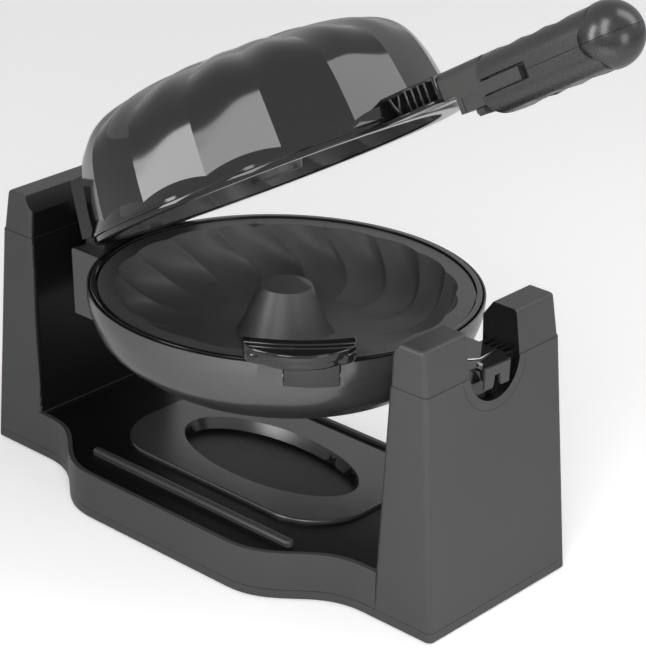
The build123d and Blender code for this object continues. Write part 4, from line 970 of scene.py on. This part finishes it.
@dataclass
class ClipLever(Assembly):
    """Side clip: thumb lip with ridges, front plate, hook and the knuckle that it tilts on.

    Sizes are millimetres outwards from the pan's axis, along the rim and over the parting line.
    The lip's back corners sit inwards by horn, its sides bulge to a place given from the back
    and the end, and its front corners lie back from the front and the end.
    """

    azimuth: float = math.radians(-43.2)
    back: float = 107.0
    front: float = 127.5
    half: float = 27.5
    horn: float = 4.4
    side: Point = (5.5, 0.4)
    corner: Point = (7.0, 7.5)
    top: float = 13.2
    lip: float = 4.8
    lip_edge: float = 1.0
    body_low: float = 5.2
    body_inset: Point = (3.6, 1.0)
    body_edge: float = 1.5
    plate_side: Point = (-7.6, 20.0)
    plate_run: Point = (107.4, 110.8)
    plate_bulge: float = 2.2
    plate_low: float = -9.9
    hook_run: Point = (102.8, 108.0)
    hook_half: float = 7.0
    hook_height: Point = (6.2, 9.0)
    pivot: Point = (108.2, -5.0)
    knuckle: float = 2.4
    grooves: Point = (114.0, 118.6)
    groove_radius: float = 1.3
    groove_lift: float = 0.6

    def outline(self, back: float, half: float) -> list[Point]:
        """Lens-shaped outline of the lip, from its back arc to its front arc.

        Args:
            back: Place of the back arc's middle.
            half: Half length along the rim.

        Returns:
            X and Y of each corner, in metres.
        """
        horn, corner = back - self.horn, self.front - self.corner[0]
        side, wide = back + self.side[0], half - self.side[1]
        narrow = half - self.corner[1]
        points = arc((horn, half), (back, 0.0), (horn, -half))
        points += arc((horn, -half), (side, -wide), (corner, -narrow), 8)
        points += arc((corner, -narrow), (self.front, 0.0), (corner, narrow), 16)
        points += arc((corner, narrow), (side, wide), (horn, half), 8)
        return on_millimetres(points)

    def thumb(self) -> bpy.types.Object:
        """Lip over its thicker body, with the grooves cut in.

        Returns:
            The new object.
        """
        top, lip = self.top * MM, self.lip * MM
        inset, narrowing = self.body_inset
        thumb = slab("clip_thumb", self.outline(self.back, self.half), top - lip, top,
                     self.lip_edge * MM, 4)
        body = slab("clip_body", self.outline(self.back + inset, self.half - narrowing),
                    self.body_low * MM, top - lip / 2, self.body_edge * MM, 4)
        carve(thumb, body, "UNION")
        for groove in self.grooves:
            pick_nothing()
            bpy.ops.mesh.primitive_torus_add(
                major_radius=groove * MM, minor_radius=self.groove_radius * MM,
                major_segments=160, minor_segments=12,
                location=(0.0, 0.0, top + self.groove_lift * MM))
            freeze()
            carve(thumb, bpy.context.object)
        return thumb

    def build(self) -> None:
        """Model the lever square to the axes, then set it on the pan's front."""
        thumb = self.thumb()
        (left, right), (inner, outer) = self.plate_side, self.plate_run
        face = arc((outer, left), (outer + self.plate_bulge, (left + right) / 2), (outer, right))
        plate = slab("clip_plate", on_millimetres([(inner, left), *face, (outer, right),
                                                   (inner, right)]),
                     self.plate_low * MM, self.top * MM - 1.0 * MM, 0.5 * MM)
        (start, end), half, (low, high) = self.hook_run, self.hook_half, self.hook_height
        hook = slab("clip_hook", on_millimetres([(start, -half), (end, -half), (end, half),
                                                 (start, half)]),
                    low * MM, high * MM, 0.4 * MM)
        out, rise = self.pivot
        knuckle = bar("clip_knuckle", Vector((out, left, rise)) * MM,
                      Vector((out, right, rise)) * MM, self.knuckle * MM)
        lever = weld("clip_thumb_lever", [thumb, plate, hook, knuckle])
        middle = Matrix.Translation((self.swing.middle_x, 0.0, self.swing.axis_height))
        settle(lever, self.swing.pan() @ middle @ Matrix.Rotation(self.azimuth, 4, "Z"))
        smooth(lever)
        dress(lever, self.finishes.gloss, Body.CLIP, "clip_lever")


@dataclass
class Pan(Assembly):
    """Lower half: bowl, rim, mould, hinge block, journal and clip."""

    journal_start: float = 91.0 * MM
    rim: tuple[Point, ...] = ((103.2, -5.8), (103.2, -0.4), (100.4, -0.4), (100.4, -3.4),
                              (96.2, -3.4), (96.2, -5.4), (101.2, -5.4), (101.2, -5.8))

    def on_journal(self, facet: Facet) -> bool:
        """Whether a face of the lower housing belongs to the journal."""
        return max(corner.x for corner in facet.corners) > self.journal_start

    def build(self) -> None:
        """Dress the pan's nodes."""
        housing = soften("lower_housing", self.finishes.bowl, Body.PAN, degrees=18.0)
        second_finish(housing, self.finishes.gloss, self.on_journal)
        RimRing(self.finishes, self.swing, "pan_rim_ring", "lower_rim", Body.PAN,
                self.rim).build(self.swing.pan())
        soften("lower_mould", self.finishes.mould, Body.PAN)
        soften("journal_end_plate", self.finishes.grey, Body.PAN, 0.2 * MM)
        for node in ("pivot_shaft", "shaft_clip", "hinge_pin", "clip_pin"):
            soften(node, self.finishes.steel, Body.PAN)
        soften("clip_block", self.finishes.bowl, Body.PAN, 0.2 * MM)
        ClipLever(self.finishes, self.swing).build()
        JournalWire(self.finishes, self.swing).build()
        paint("lower_element", self.finishes.heater)
        paint("lower_reflector", self.finishes.sheet)
        paint("lower_thermostat", self.finishes.charcoal)


# Lid

@dataclass
class JournalHood(Assembly):
    """Upper half of the journal: flat top, core, ribs and hooks over a foot plate.

    Sizes are millimetres along the axis, across it and over it, with the lid closed.
    """

    start: float = 78.0
    end: float = 121.6
    low: float = 0.6
    top: float = 14.2
    core_half: float = 6.5
    top_half: float = 11.0
    top_thick: float = 2.2
    foot_start: float = 84.0
    foot_half: float = 17.6
    foot_thick: float = 2.0
    end_thick: float = 3.0
    end_over: float = 0.6
    ribs: tuple[float, ...] = (101.0, 105.5, 110.0, 114.5)
    rib_half: float = 0.8
    rib_over: float = 1.6
    rib_inset: float = 1.0
    hook_over: float = 1.4
    hook: tuple[Point, ...] = ((88.5, 12.6), (90.2, 12.6), (93.2, 5.6), (95.4, 12.6), (97.0, 12.6),
                               (94.2, 2.6), (92.2, 2.6))

    def box(self, name: str, x: Point, half: float, z: Point, edge: float = 0.5
            ) -> bpy.types.Object:
        """Eased block across the axis.

        Args:
            name: Object name.
            x: Where it starts and ends along the axis.
            half: Half width across the axis.
            z: Heights of its underside and top over the axis.
            edge: Width of the eased edges.

        Returns:
            The new object.
        """
        corners = [(x[0], -half), (x[1], -half), (x[1], half), (x[0], half)]
        height = self.swing.axis_height
        return slab(name, on_millimetres(corners), height + z[0] * MM, height + z[1] * MM,
                    edge * MM)

    def build(self) -> None:
        """Put the hood together and open it with the lid."""
        low, top, end = self.low, self.top, self.end
        pieces = [
            self.box("journal_core", (self.start, end), self.core_half, (low, top)),
            self.box("journal_top", (self.start, end), self.top_half,
                     (top - self.top_thick, top), 0.8),
            self.box("journal_foot", (self.foot_start, end), self.foot_half,
                     (low, low + self.foot_thick)),
            self.box("journal_end", (end - self.end_thick, end), self.top_half + self.end_over,
                     (low, top)),
        ]
        for place in self.ribs:
            pieces.append(self.box("journal_rib", (place - self.rib_half, place + self.rib_half),
                                   self.top_half + self.rib_over,
                                   (low + self.rib_inset, top - self.rib_inset), 0.3))
        outline = [(x, self.swing.axis_height / MM + z) for x, z in self.hook]
        for side in (1, -1):
            near, far = sorted((side * self.core_half, side * (self.top_half + self.hook_over)))
            hook = slab("journal_hook", on_millimetres(outline), near * MM, far * MM, 0.3 * MM)
            settle(hook, Matrix.Rotation(math.radians(90.0), 4, "X"))
            pieces.append(hook)
        hood = weld("journal_hood", pieces)
        settle(hood, self.swing.lid())
        smooth(hood)
        dress(hood, self.finishes.gloss, Body.LID, "lid_journal")


@dataclass
class LidCover(Assembly):
    """Lobed cover of the lid: a drum of flat-sided lobes that close over a hub, on a flange.

    Each station holds the radius over a lobe's middle, the radius at a crease and the rise over
    the parting line, in millimetres. The creases are as sharp as can be outside crease_end and
    fade out towards crease_start.
    """

    lobes: int = 16
    first_crease: float = 5.0
    stations: tuple[tuple[float, float, float], ...] = (
        (98.9, 100.4, 6.0), (98.4, 99.9, 12.4), (97.5, 99.05, 18.8), (96.4, 97.9, 25.1),
        (95.1, 96.8, 31.4), (93.6, 95.2, 37.5), (91.8, 93.1, 43.5), (88.8, 88.9, 49.4),
        (84.2, 82.0, 54.8), (78.6, 73.8, 58.6), (72.7, 65.8, 61.2), (66.6, 58.8, 63.0),
        (60.3, 52.6, 64.4), (50.9, 44.2, 66.2), (41.3, 36.4, 67.2), (31.6, 28.6, 67.7),
        (22.0, 20.9, 67.9), (12.0, 12.0, 67.95),
    )
    crease_start: float = 22.0
    crease_end: float = 60.0
    crease_width: float = 0.12
    flange: tuple[Point, ...] = (
        (60.0, 3.4), (101.7, 3.4), (102.0, 3.7), (102.0, 5.1), (101.4, 6.4), (94.6, 17.6),
        (92.0, 21.0), (60.0, 21.0),
    )
    hollow: tuple[Point, ...] = (
        (0.0, 2.0), (94.5, 2.0), (94.5, 7.0), (93.9, 14.0), (93.2, 24.0), (88.0, 41.0),
        (83.0, 47.0), (72.8, 54.9), (52.7, 60.4), (22.0, 65.1), (0.0, 65.1),
    )
    hollow_steps: int = 96
    barrel_radius: float = 5.5
    barrel_half: float = 27.6

    def set_ring(self, piece: bpy.types.Object, station: tuple[float, float, float]) -> None:
        """Move the selected ring to a station.

        Between the creases a corner stands further out than the lobe, because smoothing takes
        four parts in six of it and one part of the crease on either side.

        Args:
            piece: Cover in edit mode.
            station: Radius over a lobe, radius at a crease and rise.
        """
        middle, crease, rise = station
        lobe = math.radians(180.0 / self.lobes)
        outer = (6.0 * middle - 2.0 * crease * math.cos(lobe)) / 4.0
        mesh = bmesh.from_edit_mesh(piece.data)
        ring = [vertex for vertex in mesh.verts if vertex.select]
        ring.sort(key=lambda vertex: math.atan2(vertex.co.y, vertex.co.x - self.swing.middle_x)
                  % FULL_TURN)
        for index, vertex in enumerate(ring):
            radius = (outer if index % 2 else crease) * MM
            turn = math.radians(self.first_crease) + index * lobe
            vertex.co = (self.swing.middle_x + radius * math.cos(turn), radius * math.sin(turn),
                         self.swing.axis_height + rise * MM)
        bmesh.update_edit_mesh(piece.data)

    def drum(self) -> bpy.types.Object:
        """Extrude a ring of lobes from station to station and smooth it between the creases.

        Returns:
            The closed drum.
        """
        pick_nothing()
        height = self.swing.axis_height
        bpy.ops.mesh.primitive_circle_add(vertices=2 * self.lobes, radius=0.1,
                                          location=(self.swing.middle_x, 0.0, height))
        piece = bpy.context.object
        piece.name = "lid_cover"
        freeze()
        bench = Bench(piece)
        self.set_ring(piece, self.stations[0])
        for station in self.stations[1:]:
            bpy.ops.mesh.extrude_edges_move(TRANSFORM_OT_translate={"value": (0.0, 0.0, MM)})
            self.set_ring(piece, station)
        bpy.ops.mesh.edge_face_add()
        bpy.ops.mesh.poke()
        heights = [height + rise * MM for _, _, rise in self.stations]
        for low, high, (middle, _, _) in zip(heights, heights[1:], self.stations[1:]):
            fade = (middle - self.crease_start) / (self.crease_end - self.crease_start)
            if fade > 0:
                self.sharpen(bench, low, high, min(1.0, fade))
        bench.select_edges(lambda a, b: max(abs(a.z - heights[0]), abs(b.z - heights[0]))
                           < SAME_HEIGHT)
        bpy.ops.mesh.edge_face_add()
        bpy.ops.transform.edge_crease(value=1.0)
        bench.close()
        apply_modifier(piece, "SUBSURF", levels=3, render_levels=3)
        return piece

    def on_crease(self, place: Vector) -> bool:
        """Whether a vertex lies within a small part of a lobe's width from a crease."""
        turn = math.degrees(math.atan2(place.y, place.x - self.swing.middle_x)) - self.first_crease
        return abs((turn * self.lobes / 360.0 + 0.5) % 1.0 - 0.5) < self.crease_width

    def sharpen(self, bench: Bench, low: float, high: float, sharpness: float) -> None:
        """Crease the meridians between two rings.

        Args:
            bench: Cover in edit mode.
            low: Height of the lower ring.
            high: Height of the upper ring.
            sharpness: Crease from 0 to 1.
        """
        def along(a: Vector, b: Vector) -> bool:
            """Whether an edge, given by its two ends, runs along a crease from ring to ring."""
            off = max(abs(min(a.z, b.z) - low), abs(max(a.z, b.z) - high))
            return off < SAME_HEIGHT and self.on_crease(a) and self.on_crease(b)

        bench.select_edges(along)
        bpy.ops.transform.edge_crease(value=sharpness)

    def build(self) -> None:
        """Model the cover in the closed lid, then open it with the lid."""
        cover = self.drum()
        carve(cover, self.swing.turn("flange_tool", self.flange, RING_STEPS), "UNION")
        carve(cover, self.swing.turn("hollow_tool", self.hollow, self.hollow_steps))
        pin = Vector((self.swing.hinge_x, 0.0, self.swing.hinge_z))
        reach = Vector((0.0, self.barrel_half * MM, 0.0))
        carve(cover, bar("barrel_tool", pin - reach, pin + reach, self.barrel_radius * MM))
        settle(cover, self.swing.lid())
        smooth(cover, 11.0)
        dress(cover, self.finishes.gloss, Body.LID, "lid_housing")


@dataclass
class Lid(Assembly):
    """Upper half: lobed cover, rim, mould, hinge arms, journal and handle."""

    rim: tuple[Point, ...] = ((90.4, 0.4), (101.4, 0.4), (101.4, 3.4), (93.7, 3.4), (93.7, 1.4),
                              (90.4, 1.4))

    def build(self) -> None:
        """Dress the lid's nodes."""
        LidCover(self.finishes, self.swing).build()
        RimRing(self.finishes, self.swing, "lid_rim_ring", "lid_rim", Body.LID,
                self.rim).build(self.swing.lid())
        soften("upper_mould", self.finishes.mould, Body.LID)
        soften("hinge_arms", self.finishes.gloss, Body.LID, 0.5 * MM)
        JournalHood(self.finishes, self.swing).build()
        soften("handle_neck", self.finishes.grey, Body.LID, 0.4 * MM)
        soften("latch_slider", self.finishes.grey, Body.LATCH, 0.2 * MM)
        for node in ("grip_upper", "grip_lower"):
            soften(node, self.finishes.grip, Body.LID, 0.3 * MM)
        paint("upper_element", self.finishes.heater)
        paint("upper_reflector", self.finishes.sheet)
        paint("grip_screws", self.finishes.steel)


# Studio

@dataclass(frozen=True)
class Softbox:
    """Area lamp aimed at the object: its place in degrees and metres, its size and its power."""

    name: str
    azimuth: float
    elevation: float
    distance: float
    width: float
    height: float
    watts: float
    lights: bool = True
    mirrored: bool = True


@dataclass
class Studio:
    """Camera, floor, backdrop light and lamps."""

    target: tuple[float, float, float] = (-0.0289, 0.0, 0.1)
    azimuth: float = 44.04
    elevation: float = 24.94
    distance: float = 1.3038
    focal_pixels: float = 2429.6
    principal: Point = (267.4, 334.3)
    picture: tuple[int, int] = (646, 666)
    sensor: float = 36.0
    softboxes: tuple[Softbox, ...] = (
        Softbox("front_box", -20.0, 20.0, 1.3, 0.36, 1.0, 7.8, lights=False),
        Softbox("front_high_box", 21.0, 45.0, 1.3, 0.42, 1.0, 6.2, lights=False),
        Softbox("back_right_box", 134.0, 50.0, 1.4, 0.5, 1.1, 5.0),
        Softbox("right_box", 84.0, 10.0, 1.6, 0.5, 0.6, 3.0),
        Softbox("key_box", 42.0, 22.0, 0.75, 0.3, 0.3, 4.2, mirrored=False),
    )
    sky_light: float = 0.4
    sky_mirrored: float = 0.2
    sky_seen: float = 0.6
    floor_size: float = 30.0
    floor_white: float = 0.9
    floor_glow: float = 3.6
    glow_share: float = 0.1

    def put(self, name: str, data: bpy.types.ID, azimuth: float, elevation: float,
            distance: float) -> bpy.types.Object:
        """Put a camera or a lamp round the object and aim it at the target.

        Args:
            name: Object name.
            data: Camera or lamp.
            azimuth: Degrees round the object, 0 in front.
            elevation: Degrees over the floor.
            distance: Metres from the target.

        Returns:
            The new object.
        """
        item = bpy.data.objects.new(name, data)
        bpy.context.collection.objects.link(item)
        target = Vector(self.target)
        a, e = math.radians(azimuth), math.radians(elevation)
        direction = Vector((math.sin(a) * math.cos(e), -math.cos(a) * math.cos(e), math.sin(e)))
        item.location = target + direction * distance
        item.rotation_euler = (target - item.location).to_track_quat("-Z", "Y").to_euler()
        return item

    def camera(self) -> None:
        """Set the camera at the photograph's angle and framing."""
        data = bpy.data.cameras.new("camera")
        longest = max(self.picture)
        data.sensor_width = self.sensor
        data.lens = self.focal_pixels * self.sensor / longest
        data.shift_x = (self.picture[0] / 2 - self.principal[0]) / longest
        data.shift_y = (self.principal[1] - self.picture[1] / 2) / longest
        data.clip_end = 50.0
        bpy.context.scene.camera = self.put("camera", data, self.azimuth, self.elevation,
                                            self.distance)

    def lamps(self) -> None:
        """Place the softboxes."""
        for box in self.softboxes:
            data = bpy.data.lights.new(box.name, "AREA")
            data.shape = "RECTANGLE"
            data.size, data.size_y, data.energy = box.width, box.height, box.watts
            lamp = self.put(box.name, data, box.azimuth, box.elevation, box.distance)
            lamp.visible_diffuse, lamp.visible_glossy = box.lights, box.mirrored

    def world(self) -> None:
        """White to the camera, grey in reflections and a darker grey as a light."""
        world = bpy.data.worlds.new("studio")
        bpy.context.scene.world = world
        world.use_nodes = True
        sky = Nodes(world.node_tree)
        mirrored = sky.node("ShaderNodeLightPath", output="Is Glossy Ray")
        strength = (sky.on_camera_rays() * self.sky_seen + mirrored * self.sky_mirrored
                    + self.sky_light)
        background = sky.tree.nodes["Background"]
        background.inputs["Color"].default_value = (1.0, 1.0, 1.0, 1.0)
        sky.fill(background.inputs["Strength"], strength)

    def floor(self) -> None:
        """White floor that keeps the object's shadow."""
        pick_nothing()
        bpy.ops.mesh.primitive_plane_add(size=self.floor_size, location=(0.0, 0.0, 0.0))
        sheet = bpy.context.object
        sheet.name = "floor"
        white = (self.floor_white,) * 3
        mix = Recipe("floor_white", white)
        mix.set("Base Color", (*white, 1.0))
        mix.set("Roughness", 0.9)
        glow = mix.node("ShaderNodeEmission", {"Strength": self.floor_glow})
        matt = Channel(mix.tree, mix.shader.outputs[0])
        both = mix.node("ShaderNodeMixShader", {0: mix.on_camera_rays() * self.glow_share,
                                                1: matt, 2: glow})
        mix.fill(mix.tree.nodes["Material Output"].inputs["Surface"], both)
        sheet.data.materials.append(mix.material)

    def build(self) -> None:
        """Set up everything round the object."""
        bpy.context.scene.view_settings.view_transform = "Standard"
        self.camera()
        self.lamps()
        self.world()
        self.floor()


def main() -> None:
    """Build the looks of the whole object."""
    logging.basicConfig(level=logging.INFO)
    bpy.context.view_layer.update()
    finishes = Finishes()
    swing = Swing()
    Studio().build()
    Base(finishes, swing).build()
    Pan(finishes, swing).build()
    Lid(finishes, swing).build()
    pick_nothing()


if __name__ == "__main__":
    main()
